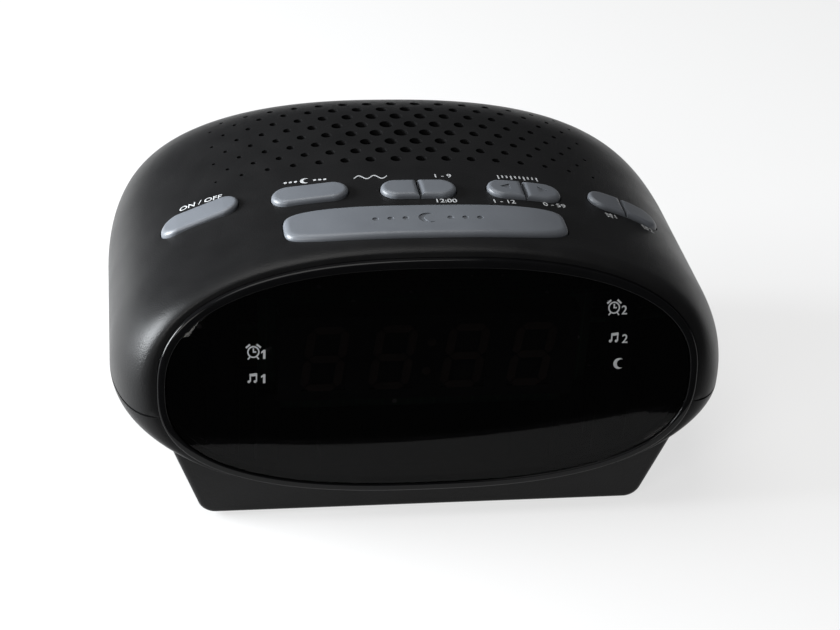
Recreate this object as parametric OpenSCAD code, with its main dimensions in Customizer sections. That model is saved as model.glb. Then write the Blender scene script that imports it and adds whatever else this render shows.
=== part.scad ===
// Bedside clock radio: an oval case in two halves on a tapered pedestal, with a curved
// window in front, a row of keys and a loudspeaker grille on top.
// The origin is under the middle of the case, on the table. X points right as seen from
// the front, Y points to the back and Z points up. Sizes are in millimetres.

/* [Case] */
// Width of the case at its widest
case_w = 168; // [158:1:186]
// Depth of the case, from the nose of the front to the back
case_d = 119; // [114:1:130]
// Height of the top of the case
crown_z = 76.5; // [76:0.5:86]
// Height of the joint between the two halves of the case
parting_z = 33.5; // [32:0.5:36]
// Height of the underside of the case body
belly_z = 7.5; // [6:0.5:8]
// Thickness of the case wall
wall = 2.2; // [1.8:0.1:2.6]
// Fullness of the upper half of the oval section, where 2 is an ellipse
upper_n = 2.42; // [2.2:0.02:2.8]
// Fullness of the lower half of the oval section
lower_n = 1.85; // [1.7:0.05:2.2]
// Radius of the front, which is curved in side view
front_r = 182; // [170:1:260]
// Height of the most forward point of the front
nose_z = 10; // [6:0.5:14]
// Depth over which the rounded front corners reach the full width
corner_l = 27; // [22:1:32]
// Depth over which the front edge of the top reaches the full height
crown_l = 5; // [4:0.5:8]
// Depth behind the window at which the lean of the front has faded out
lean_l = 60; // [50:1:70]
// Depth of the rounding of the back at the sides
back_side_l = 42; // [34:1:46]
// How far the sides come in at the back
back_side_in = 14; // [8:1:18]
// Depth of the rounding of the back at the top
back_top_l = 29.5; // [24:0.5:34]
// How far the top comes down at the back
back_top_drop = 12.5; // [9:0.5:14]
// How far the underside rises at the back
back_low_rise = 6; // [3:0.5:8]

/* [Window] */
// Width of the window with its bezel
window_w = 144; // [138:1:148]
// Height of the window with its bezel
window_h = 65; // [62:1:66]
// Height of the middle of the window
window_z = 41.5; // [41:0.5:42.5]
// Fullness of the oval of the window
window_n = 2.5; // [2.3:0.05:2.8]
// Width of the bezel ring
bezel_t = 2.1; // [1.8:0.1:2.6]
// How far the bezel stands out from the rim of the case
bezel_proud = 1.5; // [1:0.1:1.8]
// Radius of the outer edge of the bezel
bezel_round = 0.6; // [0.3:0.1:0.9]
// Depth of the seat that takes the bezel and the lens
seat_l = 3; // [2.6:0.1:3.2]
// How far the lens lies behind the face of the bezel
lens_recess = 0.5; // [0.3:0.1:0.8]
// Width of the case rim outside the bezel
rim_t = 1; // [0.8:0.1:1.6]
// Depth of the thick collar behind the rim
collar_l = 5; // [4.5:0.1:5.4]
// Width of the ledge that the lens rests on
ledge_t = 1; // [0.8:0.1:1.6]

/* [Keys] */
// Length of a key, or of a pair of keys
key_l = 20.8; // [19:0.2:22]
// Width of a key from front to back
key_w = 8.8; // [8:0.2:9.6]
// Distance of the outermost keys from the sides of the case
key_side_in = 25; // [23.6:0.2:27]
// Distance of the middle key behind the window
key_back = 41; // [40:0.5:43]
// Radius of the shallow arc on which the keys lie
key_row_r = 500; // [420:10:800]
// Length of the snooze key
snooze_l = 76; // [66:1:78]
// Width of the snooze key from front to back
snooze_w = 16; // [13:0.5:16]
// Fullness of the outline of the snooze key
snooze_n = 4.5; // [4:0.1:6]
// Distance of the snooze key behind the window
snooze_back = 23.2; // [22.4:0.1:23.6]
// Height of the keys above the case
key_proud = 1.5; // [1.2:0.1:2.2]
// Travel of a key
key_travel = 0.8; // [0.5:0.1:1]
// Gap between a key and what is beside it
key_gap = 0.3; // [0.2:0.05:0.4]
// Wall of the well in which a key slides
well_t = 1.2; // [1:0.1:1.4]
// Width of the flange that keeps a key in its well
flange_w = 1; // [0.8:0.1:1.2]
// Thickness of the flange
flange_t = 1.2; // [1:0.1:1.6]
// Diameter of the stem under a key
stem_d = 3; // [2.4:0.1:3.4]
// Height of a switch with its plunger
switch_h = 5; // [4.3:0.1:6]
// Width of a switch
switch_w = 6; // [5:0.1:6.2]

/* [Grille] */
// Distance between holes along a row
hole_pitch = 7.17; // [6.6:0.01:7.6]
// Distance between rows of holes
hole_row = 5.43; // [5:0.01:5.6]
// Number of rows
hole_rows = 8; // [4:1:8]
// Number of steps from the middle to the end of a row
hole_steps = 8; // [5:1:8]
// Diameter of the holes in the middle
hole_mid_d = 4.3; // [3.2:0.1:4.6]
// Diameter of the holes at the ends of a row
hole_end_d = 0.9; // [0.8:0.1:1.6]
// Distance of the first row behind the window
grille_back = 60.2; // [59:0.2:63]

/* [Pedestal] */
// Width of the pedestal at its foot
base_w = 120; // [112:1:126]
// How much each side of the pedestal widens for each millimetre of height
base_flare = 0.39; // [0.3:0.01:0.42]
// Distance of the pedestal behind the nose of the front
base_set_back = 4.1; // [3.4:0.1:6]
// Distance of the pedestal from the back of the case
base_back_in = 15.5; // [11:0.5:18]
// Radius of the bottom corners of the pedestal
base_round = 5; // [3:0.5:7]
// Thickness of the floor
floor_t = 2; // [1.8:0.1:2.4]
// Height of the rubber feet below the floor
foot_h = 0.8; // [0.6:0.1:1.2]
// Diameter of the rubber feet
foot_d = 10; // [8:0.5:12]

/* [Loudspeaker] */
// Diameter of the loudspeaker frame
speaker_d = 57; // [50:1:58]
// Diameter of the circle of its screws
speaker_pcd = 63; // [60:1:65]
// Diameter of the magnet
magnet_d = 32; // [26:1:36]
// Height of the magnet
magnet_h = 10; // [8:0.5:11]
// Depth of the frame without the magnet
frame_h = 11; // [9:0.5:12]
// Travel of the cone to each side
cone_travel = 0.5; // [0.3:0.1:0.6]

/* [Inside] */
// Thickness of the circuit boards
board_t = 1.6; // [1.2:0.1:2]
// Distance of the edge of the key board from the outermost switch
key_board_edge = 4; // [3.5:0.5:6]
// Height of the main board
main_board_z = 20; // [19:0.5:24]
// Width of the main board, across the case
main_board_w = 60; // [54:1:62]
// Distance of the main board from the case screws in front of it
main_board_in = 6.3; // [5:0.1:8]
// Distance of the main board from the case screws behind it
main_board_out = 1.7; // [1:0.1:6]
// Height of the tallest part on the main board
tall_part_h = 12; // [8:0.5:14]
// Width of the display module
display_w = 80; // [76:1:82]
// Height of the display module
display_h = 26; // [24:0.5:28]
// Thickness of the display module
display_t = 7; // [6:0.5:7.5]
// Height of a digit of the display
digit_h = 20; // [16:0.5:21]
// Diameter of a backup cell
cell_d = 10.5; // [10:0.1:10.6]
// Length of a backup cell
cell_l = 44.5; // [43:0.1:45]
// Width of the transformer core
core_w = 35; // [30:1:36]
// Depth of the transformer core
core_d = 28; // [22:1:29]
// Height of the transformer core
core_h = 30; // [24:1:32]
// Diameter of the ferrite rod
rod_d = 8; // [6:0.5:9]
// Length of the ferrite rod
rod_l = 60; // [50:1:70]
// Diameter of the hole through the cord gland
gland_bore = 6; // [5:0.2:7]
// Diameter of the flange of the cord gland
gland_d = 12; // [11:0.5:13]
// Diameter of the case screws
screw_d = 3; // [2.6:0.1:3.2]

/* [Hidden] */

// Facets of the case round its section and of the curved tops of the keys
ring_steps = 32;
cavity_steps = 20;
corner_steps = 8;
oval_steps = 96;
bezel_steps = 4;
round_fn = 48;
// Small gap between pieces that lie face to face on curved or glued seats
seat_gap = 0.1;
// Clear space past a surface for a cut that goes right through it
past = 1;

// Curved front of the bezel, moved back by an amount, and the rim of the case behind it
function front_y(z, back) = -case_d / 2 + front_r - sqrt(pow(front_r - back, 2) - pow(z - nose_z, 2));
function rim_y(z) = front_y(z, bezel_proud);
mid_front_y = rim_y(window_z);
body_l = case_d / 2 - mid_front_y;

// Curves of the case along its depth
function unit(v) = min(1, max(0, v));
function quarter(s) = sqrt(max(0, 1 - s * s));
function corner(d, l) = quarter(1 - unit(d / l));
function roll_off(d, l) = 1 - quarter(unit((d - body_l + l) / l));
function signed_power(v, e) = sign(v) * pow(abs(v), e);
rim_w = window_w / 2 + rim_t;
rim_top_z = window_z + window_h / 2 + rim_t;
rim_low_z = window_z - window_h / 2 - rim_t;
function rim_x(z) = rim_w
    * pow(max(0, 1 - pow(abs(z - window_z) / (rim_top_z - window_z), window_n)), 1 / window_n);
rim_joint_w = rim_x(parting_z);
function side_at(d) = rim_joint_w + (case_w / 2 - rim_joint_w) * corner(d, corner_l)
    - back_side_in * roll_off(d, back_side_l);
function crown_at(d) = rim_top_z + (crown_z - rim_top_z) * corner(d, crown_l)
    - back_top_drop * roll_off(d, back_top_l);
function belly_at(d) = rim_low_z + (belly_z - rim_low_z) * corner(d, corner_l)
    + back_low_rise * roll_off(d, back_side_l);
function lean(d) = unit((lean_l - d) / (lean_l - collar_l));
function case_y(d, z) = mid_front_y + d + (rim_y(z) - mid_front_y) * lean(d);

// A point of the case at depth d and angle a round the section, moved in by inset: the section
// changes from the rim of the window in front to the full oval behind the corners
function case_point(d, a, inset) =
    let (up = a <= 180,
        n = up ? upper_n : lower_n,
        across = signed_power(cos(a), 2 / n),
        rise = signed_power(sin(a), 2 / n),
        rim_h = up ? rim_top_z - parting_z : parting_z - rim_low_z,
        rim = sign(across) * rim_x(parting_z + rim_h * rise),
        blend = corner(d, corner_l),
        x = rim * (1 - blend) + (case_w / 2 * blend - back_side_in * roll_off(d, back_side_l)) * across,
        h = (up ? crown_at(d) - parting_z : parting_z - belly_at(d)) - inset,
        z = parting_z + h * rise)
    [x * (1 - inset / side_at(d)), case_y(d, z), z];

// Depths of the sections, closer together where the case is round
mid_l = body_l - back_side_l - corner_l;
case_depths = concat(
    [for (i = [0 : corner_steps]) corner_l * (1 - cos(90 * i / corner_steps))],
    [corner_l + mid_l / 3, corner_l + mid_l * 2 / 3],
    [for (i = [0 : corner_steps]) body_l - back_side_l * (1 - sin(90 * i / corner_steps))]);
cavity_depths = concat([collar_l],
    [for (d = case_depths) if (d > collar_l + past && d < body_l - wall - past) d],
    [body_l - wall]);

// Height of the top of the case above a point of the table
function section_z(x, d) = parting_z + (crown_at(d) - parting_z)
    * pow(max(0, 1 - pow(abs(x) / side_at(d), upper_n)), 1 / upper_n);
function depth_under(x, y, d, rounds) = rounds == 0 ? d
    : depth_under(x, y, y - mid_front_y - (rim_y(section_z(x, d)) - mid_front_y) * lean(d), rounds - 1);
function top_z(x, y) = section_z(x, depth_under(x, y, y - mid_front_y, 8));
slope_share = 1.4;
function inner_z(x, y) = top_z(x, y) - wall * slope_share;

// Keys: place along the row, height of the end of the wells, height of the key board
key_pitch = (case_w / 2 - key_side_in) / 2;
function key_x(i) = i * key_pitch;
function key_y(x) = mid_front_y + key_back + x * x / (2 * key_row_r);
snooze_y = mid_front_y + snooze_back;
key_reach = key_l / 2 + key_gap + well_t + flange_w;
inner_stop_z = inner_z(key_x(1) + key_reach, key_y(key_x(1))) - past;
outer_stop_z = inner_z(key_x(2) + key_reach, key_y(key_x(2))) - past / 2;
function stop_z(i) = abs(i) == 2 ? outer_stop_z : inner_stop_z;
key_top_z = crown_z + key_proud + past;
min_stem = 0.3;
strike_gap = 0.1;
plunger_z = outer_stop_z - key_gap - flange_t - min_stem - key_travel - strike_gap;
key_board_z = plunger_z - switch_h - board_t;
pair_half = key_l / 4;
key_board_w = 2 * (key_x(2) + pair_half + key_board_edge);

// Pedestal
base_front_y = -case_d / 2 + base_set_back;
base_back_y = case_d / 2 - base_back_in;
base_top_share = 0.3;
base_top_z = window_z - window_h * base_top_share;
floor_z = foot_h + floor_t;

// Case screws: pillars below the joint and bosses above it
pillar_d = 3 * screw_d;
boss_d = pillar_d - 2;
pillar_side_in = 6;
pillar_front_in = 14.4;
pillar_back_in = 8;
pillar_x = base_w / 2 - pillar_side_in;
pillar_front_y = base_front_y + pillar_front_in;
pillar_back_y = base_back_y - pillar_back_in;
main_board_edge = 4;
pillar_spots = [for (x = [-pillar_x, pillar_x], y = [pillar_front_y, pillar_back_y]) [x, y]];
screw_head_d = 2 * screw_d;
screw_head_h = 2;
screw_depth = 12;
screw_seat_z = parting_z - screw_depth;
screw_grip = 9;
screw_clear = 0.1;

// Rubber feet: distance from the front and back of the pedestal and from the case screws
foot_edge = 3;
foot_clear = 2.5;

// Tongue that locates the halves of the case
tongue_t = 1.1;
tongue_h = 2;
tongue_gap = 0.4;

// Battery bay under a door in the floor
bay_end = 3;
bay_side = 1.5;
bay_t = 1.4;
bay_front_in = 18.2;
cell_gap = 0.3;
bay_w = cell_l + 2 * bay_end;
bay_d = 2 * (cell_d + bay_side);
bay_y = base_front_y + bay_front_in + bay_d / 2;
bay_top_z = floor_z + cell_d + past;
bay_roof_z = bay_top_z + bay_t;
cell_z = floor_z + cell_gap + cell_d / 2;
cell_y = cell_d / 2 + cell_gap;
door_gap = 0.3;
tab_w = 8;
tab_l = 2.2;
tab_t = 1.2;
contact_t = 0.5;

// Display behind the window, on a board that stands in two slotted posts
display_rise = 3;
display_back = 7.75;
display_edge = 5;
display_leg = 7;
display_grip = display_leg - 0.5;
display_z = window_z + display_rise;
display_y = mid_front_y + display_back;
display_board_y = display_y + display_t;
display_board_w = display_w + 2 * display_edge;
display_board_low_z = display_z - display_h / 2 - display_leg;
display_post_w = 6;
display_post_x = display_board_w / 2 - display_post_w / 2;
slot_gap = 0.15;
slot_cheek = 3;

// Key board
key_board_clear = 2.1;
key_board_back_l = 13.2;
key_board_front_y = display_board_y + board_t + key_board_clear;
key_board_back_y = key_y(key_x(2)) + key_board_back_l;
key_board_boss_d = 6;
key_board_boss_step = 1.52;
small_screw_d = 2.2;
small_hole_d = small_screw_d + 2 * screw_clear;
small_clear_d = small_screw_d + 4 * screw_clear;
small_head_d = 2 * small_screw_d;
small_head_h = 1.5;
key_board_screw_l = 6;
key_board_spots = [for (s = [-1, 1],
    y = [snooze_y + key_board_boss_d / 2, key_board_back_y - key_board_boss_d / 2])
    [s * key_x(key_board_boss_step), y]];

// Loudspeaker
speaker_y = mid_front_y + grille_back + hole_row * (hole_rows - 1) / 2;
speaker_z = inner_z(0, speaker_y + speaker_d / 2) - past / 2;
speaker_ear_r = 4;
speaker_flange_t = 1.5;
speaker_ring_t = 4;
speaker_spots = [for (a = [45 : 90 : 315]) [speaker_pcd / 2 * cos(a), speaker_y + speaker_pcd / 2 * sin(a)]];
speaker_boss_d = 6;
speaker_screw_l = 2.5;
speaker_step = 3;
basket_t = 1;
cone_clear = 0.4;
cone_edge = 0.6;

// Main board on four posts, between the case screws
main_board_x = pillar_x + main_board_edge - main_board_w;
main_board_y = pillar_front_y + pillar_d / 2 + main_board_in;
main_board_d = pillar_back_y - pillar_d / 2 - main_board_out - main_board_y;
main_post_d = 6;
main_post_in = 4;
main_screw_l = 5;
main_board_spots = [for (x = [main_post_in, main_board_w - main_post_in],
    y = [main_post_in, main_board_d - main_post_in]) [main_board_x + x, main_board_y + y]];

// Transformer, aerial rod and cord gland
core_side_in = 21;
core_back_in = 24;
core_x = -pillar_x + core_side_in;
core_y = pillar_back_y - core_back_in;
ear_w = 7;
ear_t = 1.2;
ear_x = core_w / 2 + ear_w / 2;
ear_boss_h = 4;
core_limb = core_w / 6;
rod_clear = 6.5;
rod_drop = 6;
rod_x = 10;
rod_post_w = 4;
rod_post_t = 1;
rod_y = case_d / 2 - wall - rod_d / 2 - rod_clear;
rod_z = parting_z - rod_drop;
gland_x = -32;
gland_drop = 8.5;
gland_wall = 1.5;
gland_tail = 3;
gland_z = parting_z - gland_drop;
gland_flange_t = wall / 2;
gland_neck_d = gland_bore + 2 * gland_wall;

// Solid between the sections of the case, over the angles from a0 to a1
module case_solid(depths, a0, a1, steps, inset, drop) {
    ring = [for (d = depths) let (
            p = [for (i = [0 : steps]) case_point(d, a0 + (a1 - a0) * i / steps, inset)])
        concat(p, drop == 0 ? [] : [p[steps] - [0, 0, drop], p[0] - [0, 0, drop]])];
    m = len(ring[0]);
    last = len(depths) - 1;
    mid = (a0 + a1) / 2;
    hubs = [for (k = [0, last]) let (p = case_point(depths[k], mid, inset), z = (p[2] * 2 + parting_z) / 3)
        [0, case_y(depths[k], z), z]];
    polyhedron(
        points = concat([for (r = ring) each r], hubs),
        faces = concat(
            [for (i = [0 : last - 1], j = [0 : m - 1]) let (k = (j + 1) % m)
                each [[i * m + k, (i + 1) * m + k, (i + 1) * m + j],
                    [i * m + k, (i + 1) * m + j, i * m + j]]],
            [for (j = [0 : m - 1]) [m * (last + 1), (j + 1) % m, j]],
            [for (j = [0 : m - 1]) [m * (last + 1) + 1, last * m + j, last * m + (j + 1) % m]]));
}

module upper_case() {
    case_solid(case_depths, 0, 180, ring_steps, 0, 0);
}

module lower_case() {
    case_solid(case_depths, 180, 360, ring_steps, 0, 0);
}

// Window outline, grown by an amount and cut through the whole front
module window_prism(grow) {
    outline = [for (i = [0 : oval_steps - 1]) let (a = 360 * i / oval_steps)
        [(window_w / 2 + grow) * signed_power(cos(a), 2 / window_n),
            window_z + (window_h / 2 + grow) * signed_power(sin(a), 2 / window_n)]];
    translate([0, mid_front_y + 2 * corner_l, 0])
        rotate([90, 0, 0])
            linear_extrude(4 * corner_l)
                polygon(outline);
}

// Drum whose skin is the curved front, moved back by an amount
module front_drum(back) {
    translate([0, -case_d / 2 + front_r, nose_z])
        rotate([0, 90, 0])
            cylinder(r = front_r - back, h = 2 * case_w, center = true, $fn = 180);
}

// Seat of the bezel and the lens, and the hole through the ledge behind it
module window_cut() {
    difference() {
        window_prism(seat_gap);
        front_drum(seat_l);
    }
    difference() {
        window_prism(-bezel_t - ledge_t);
        front_drum(bezel_proud + collar_l + past);
    }
}

// Key outlines, grown by an amount
module key_outline(grow) {
    half = key_l / 2 - key_w / 2;
    square([2 * half, key_w + 2 * grow], center = true);
    for (s = [-1, 1])
        translate([s * half, 0])
            circle(d = key_w + 2 * grow, $fn = round_fn);
}

module snooze_outline(grow) {
    polygon([for (i = [0 : oval_steps - 1]) let (a = 360 * i / oval_steps,
            x = (snooze_l / 2 + grow) * signed_power(cos(a), 2 / snooze_n))
        [x, (snooze_w / 2 + grow) * signed_power(sin(a), 2 / snooze_n) + x * x / (2 * key_row_r)]]);
}

// One side of a pair of keys: -1 for the left key, 1 for the right key, 0 for a single key
module key_side(side, grow) {
    if (side == 0)
        key_outline(grow);
    else
        intersection() {
            key_outline(grow);
            translate([side * (key_l + key_gap), 0])
                square([2 * key_l, 2 * key_l], center = true);
        }
}

// Upright prisms at the places of all keys, from one height to another
module key_prisms(grow, inner_low, outer_low, high) {
    translate([0, snooze_y, inner_low])
        linear_extrude(high - inner_low)
            snooze_outline(grow);
    for (i = [-2 : 2]) {
        low = abs(i) == 2 ? outer_low : inner_low;
        translate([key_x(i), key_y(key_x(i)), low])
            linear_extrude(high - low)
                key_outline(grow);
    }
}

// Block whose top follows the top of the case along X, at a distance above it
module lifted_top(half_x, half_y, cx, cy, steps, low) {
    profile = [for (i = [0 : steps]) let (x = cx - half_x + 2 * half_x * i / steps)
        [x, top_z(x, cy) + key_proud]];
    translate([0, cy + half_y, 0])
        rotate([90, 0, 0])
            linear_extrude(2 * half_y)
                polygon(concat([[cx + half_x, low], [cx - half_x, low]], profile));
}

// A key: its cap above the flange, the flange under the well and the stem above the switch
module stem(x, y, low, high) {
    translate([x, y, low])
        cylinder(d = stem_d, h = high - low, $fn = round_fn);
}

module row_key(i, side) {
    x = key_x(i);
    y = key_y(x);
    flange_z = stop_z(i) - key_gap - flange_t;
    color([0.36, 0.37, 0.39]) {
        intersection() {
            translate([x, y, flange_z])
                linear_extrude(key_top_z - flange_z)
                    key_side(side, 0);
            lifted_top(key_l / 2 + past, key_w / 2 + past, x, y, 12, flange_z - past);
        }
        translate([x, y, flange_z])
            linear_extrude(flange_t)
                key_side(side, key_gap + flange_w);
        stem(x + side * pair_half, y, plunger_z + key_travel + strike_gap, flange_z + flange_t);
    }
}

module snooze_key() {
    flange_z = inner_stop_z - key_gap - flange_t;
    color([0.36, 0.37, 0.39]) {
        intersection() {
            translate([0, snooze_y, flange_z])
                linear_extrude(key_top_z - flange_z)
                    snooze_outline(0);
            lifted_top(snooze_l / 2 + past, snooze_w, 0, snooze_y, 24, flange_z - past);
        }
        translate([0, snooze_y, flange_z])
            linear_extrude(flange_t)
                snooze_outline(key_gap + flange_w);
        stem(0, snooze_y, plunger_z + key_travel + strike_gap, flange_z + flange_t);
    }
}

module power_key() { row_key(-2, 0); }
module sleep_key() { row_key(-1, 0); }
module band_key() { row_key(0, -1); }
module preset_key() { row_key(0, 1); }
module tune_down_key() { row_key(1, -1); }
module tune_up_key() { row_key(1, 1); }
module alarm_one_key() { row_key(2, -1); }
module alarm_two_key() { row_key(2, 1); }

// Loudspeaker grille: staggered rows of holes that get smaller away from the middle
module grille_holes() {
    reach = hole_steps * hole_pitch;
    for (row = [0 : hole_rows - 1]) {
        odd = row % 2;
        steps = odd == 1 ? hole_steps : hole_steps - 0.5;
        y = mid_front_y + grille_back + row * hole_row;
        for (c = [-steps : 1 : steps]) {
            share = unit(norm([c * hole_pitch, y - speaker_y]) / reach);
            hole_d = hole_mid_d + (hole_end_d - hole_mid_d) * share;
            translate([c * hole_pitch, y, speaker_z])
                cylinder(d = hole_d, h = crown_z - speaker_z + past, $fn = 24);
        }
    }
}

module post(spot, d, low, high) {
    translate([spot[0], spot[1], low])
        cylinder(d = d, h = high - low, $fn = round_fn);
}

// Wells, bosses and the loudspeaker ring that stay in the upper cavity
module upper_fittings() {
    key_prisms(key_gap + well_t, inner_stop_z, outer_stop_z, key_top_z);
    for (p = pillar_spots)
        post(p, boss_d, parting_z - 2 * past, key_top_z);
    for (p = key_board_spots)
        post(p, key_board_boss_d, key_board_z + board_t, key_top_z);
    for (p = speaker_spots)
        post(p, speaker_boss_d, speaker_z, key_top_z);
    difference() {
        post([0, speaker_y], speaker_d, speaker_z, key_top_z);
        post([0, speaker_y], speaker_d - 2 * speaker_ring_t, speaker_z - past, key_top_z + past);
    }
}

module top_cabinet() {
    color([0.05, 0.05, 0.055])
    difference() {
        upper_case();
        difference() {
            case_solid(cavity_depths, 0, 180, cavity_steps, wall, past);
            upper_fittings();
        }
        window_cut();
        key_prisms(key_gap, inner_stop_z - past, outer_stop_z - past, key_top_z + past);
        grille_holes();
        for (p = pillar_spots)
            post(p, screw_d + 2 * screw_clear, parting_z - past, parting_z + screw_grip + past);
        for (p = key_board_spots)
            post(p, small_hole_d, key_board_z, key_board_z + board_t + key_board_screw_l + past);
        for (p = speaker_spots)
            post(p, small_hole_d, speaker_z - past, speaker_z + speaker_screw_l + past / 2);
    }
}

// Pedestal profile in front view: foot line, rounded bottom corners and flared sides
module pedestal_profile(inset, low) {
    half = base_w / 2 - inset;
    slant = atan(base_flare);
    r = max(0.5, base_round - inset);
    cx = half - r * (1 - sin(slant)) / cos(slant);
    arc = [for (i = [0 : 8]) let (a = -90 + (90 - slant) * i / 8) [cx + r * cos(a), low + r + r * sin(a)]];
    top = [half + base_flare * (base_top_z - low), base_top_z];
    polygon(concat(arc, [top, [-top[0], top[1]]], [for (i = [8 : -1 : 0]) [-arc[i][0], arc[i][1]]]));
}

module pedestal(inset, low) {
    translate([0, base_back_y - inset, 0])
        rotate([90, 0, 0])
            linear_extrude(base_back_y - base_front_y - 2 * inset)
                pedestal_profile(inset, low);
}

// Plan of the inside of the case at the joint between the halves
module joint_plan(inset) {
    last = len(cavity_depths) - 1;
    polygon(concat(
        [for (d = cavity_depths) [side_at(d) - inset, case_y(d, parting_z)]],
        [for (i = [last : -1 : 0]) let (d = cavity_depths[i]) [inset - side_at(d), case_y(d, parting_z)]]));
}

// Tongue round the edge of the lower half that locates the upper half
module joint_tongue(outer_inset, low, high) {
    front_clear = 2 * collar_l;
    translate([0, 0, low])
        linear_extrude(high - low)
            intersection() {
                difference() {
                    joint_plan(outer_inset);
                    joint_plan(wall + tongue_gap + tongue_t);
                }
                translate([-case_w, mid_front_y + front_clear])
                    square([2 * case_w, case_d / 2 - mid_front_y - front_clear - back_side_l / 2]);
            }
}

// Box from its low corner to its high corner
module block(low, high) {
    translate(low)
        cube(high - low);
}

// Pillars, posts and the battery bay that stay in the lower cavity
module lower_fittings() {
    for (p = pillar_spots)
        post(p, pillar_d, 0, parting_z);
    for (p = main_board_spots)
        post(p, main_post_d, 0, main_board_z);
    for (s = [-1, 1]) {
        translate([s * ear_x, 0, 0])
            post([core_x, core_y], main_post_d, 0, floor_z + ear_boss_h);
        translate([s * display_post_x, display_board_y + board_t / 2, 0])
            block([-display_post_w / 2, -board_t / 2 - slot_cheek, 0],
                [display_post_w / 2, board_t / 2 + slot_cheek, display_board_low_z + display_grip]);
        translate([rod_x + s * rod_l / 3, rod_y, 0])
            block([-rod_post_w / 2, -rod_d / 2 - rod_post_t, 0],
                [rod_post_w / 2, rod_d / 2 + rod_post_t, rod_z]);
    }
    block([-bay_w / 2 - bay_t, bay_y - bay_d / 2 - bay_t, 0],
        [bay_w / 2 + bay_t, bay_y + bay_d / 2 + bay_t, bay_roof_z]);
    joint_tongue(wall - past, parting_z - tongue_h, parting_z + past);
}

module foot_spots() {
    edge = foot_d / 2 + foot_edge;
    for (x = [-1, 1], y = [base_front_y + edge, base_back_y - edge])
        translate([x * (pillar_x - pillar_d / 2 - foot_d / 2 - foot_clear), y, 0])
            children();
}

module bottom_cabinet() {
    color([0.05, 0.05, 0.055]) {
        difference() {
            union() {
                lower_case();
                intersection() {
                    pedestal(0, foot_h);
                    block([-case_w, -case_d, 0], [case_w, case_d, parting_z]);
                }
            }
            difference() {
                union() {
                    case_solid(cavity_depths, 180, 360, cavity_steps, wall, -past);
                    pedestal(wall, floor_z);
                }
                lower_fittings();
            }
            window_cut();
            bay_cuts();
            foot_spots()
                cylinder(d = foot_d + 2 * seat_gap, h = foot_h + floor_t / 2, $fn = round_fn);
            for (p = pillar_spots) {
                post(p, screw_head_d + 2 * key_gap, 0, screw_seat_z);
                post(p, screw_d + 2 * screw_clear, 0, parting_z + past);
            }
            for (p = main_board_spots)
                post(p, small_hole_d, main_board_z - main_screw_l - past, main_board_z + past);
            for (s = [-1, 1]) {
                post([core_x + s * ear_x, core_y], small_hole_d,
                    floor_z, floor_z + ear_boss_h + past);
                translate([s * display_post_x, display_board_y + board_t / 2, 0])
                    block([-display_post_w, -board_t / 2 - slot_gap, display_board_low_z - seat_gap],
                        [display_post_w, board_t / 2 + slot_gap, parting_z]);
            }
            translate([rod_x, rod_y, rod_z])
                rotate([0, 90, 0])
                    cylinder(d = rod_d + 2 * seat_gap, h = rod_l, center = true, $fn = round_fn);
            translate([gland_x, case_d / 2, gland_z])
                rotate([90, 0, 0]) {
                    translate([0, 0, -past])
                        cylinder(d = gland_d + 2 * seat_gap, h = past + gland_flange_t, $fn = round_fn);
                    cylinder(d = gland_neck_d + 2 * seat_gap, h = 4 * wall, $fn = round_fn);
                }
        }
        joint_tongue(wall + tongue_gap, parting_z, parting_z + tongue_h);
    }
}

// Room for the cells, open below for the door, with two pockets for the tabs of the door
module bay_cuts() {
    block([-bay_w / 2, bay_y - bay_d / 2, 0], [bay_w / 2, bay_y + bay_d / 2, bay_top_z]);
    for (s = [-1, 1])
        translate([s * bay_w / 4, bay_y + bay_d / 2, floor_z])
            block([-tab_w / 2 - door_gap, -past, 0],
                [tab_w / 2 + door_gap, tab_l, tab_t + tab_l + 2 * door_gap]);
}

// Bezel: a ring that stands out of its seat in the case, with a rounded outer edge
module lens_bezel() {
    back = seat_l - seat_gap;
    edge = [for (i = [0 : bezel_steps]) let (a = 90 * i / bezel_steps)
        [-bezel_round * (1 - cos(a)), bezel_round * (1 - sin(a))]];
    profile = concat([[0, back]], edge, [[-bezel_t, 0], [-bezel_t, back]]);
    m = len(profile);
    points = [for (p = profile, i = [0 : oval_steps - 1]) let (a = 360 * i / oval_steps,
            z = window_z + (window_h / 2 + p[0]) * signed_power(sin(a), 2 / window_n))
        [(window_w / 2 + p[0]) * signed_power(cos(a), 2 / window_n), front_y(z, p[1]), z]];
    color([0.03, 0.03, 0.035])
        polyhedron(points = points, faces = [for (i = [0 : m - 1], j = [0 : oval_steps - 1])
            let (a = i * oval_steps, b = (i + 1) % m * oval_steps, k = (j + 1) % oval_steps)
            each [[a + j, b + k, a + k], [a + j, b + j, b + k]]]);
}

module front_lens() {
    color([0.02, 0.02, 0.025])
    difference() {
        window_prism(-bezel_t - seat_gap);
        front_drum(seat_l - seat_gap);
        difference() {
            window_prism(past);
            front_drum(lens_recess);
        }
    }
}

// Places of the switches: under the snooze key, the single keys and each key of a pair
switch_spots = concat([[0, snooze_y]],
    [for (i = [-2, -1]) [key_x(i), key_y(key_x(i))]],
    [for (i = [0 : 2], s = [-1, 1]) [key_x(i) + s * pair_half, key_y(key_x(i))]]);

module key_board() {
    color([0.1, 0.3, 0.16])
    difference() {
        block([-key_board_w / 2, key_board_front_y, key_board_z],
            [key_board_w / 2, key_board_back_y, key_board_z + board_t]);
        for (p = key_board_spots)
            post(p, small_clear_d, key_board_z - past, key_board_z + board_t + past);
    }
}

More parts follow.
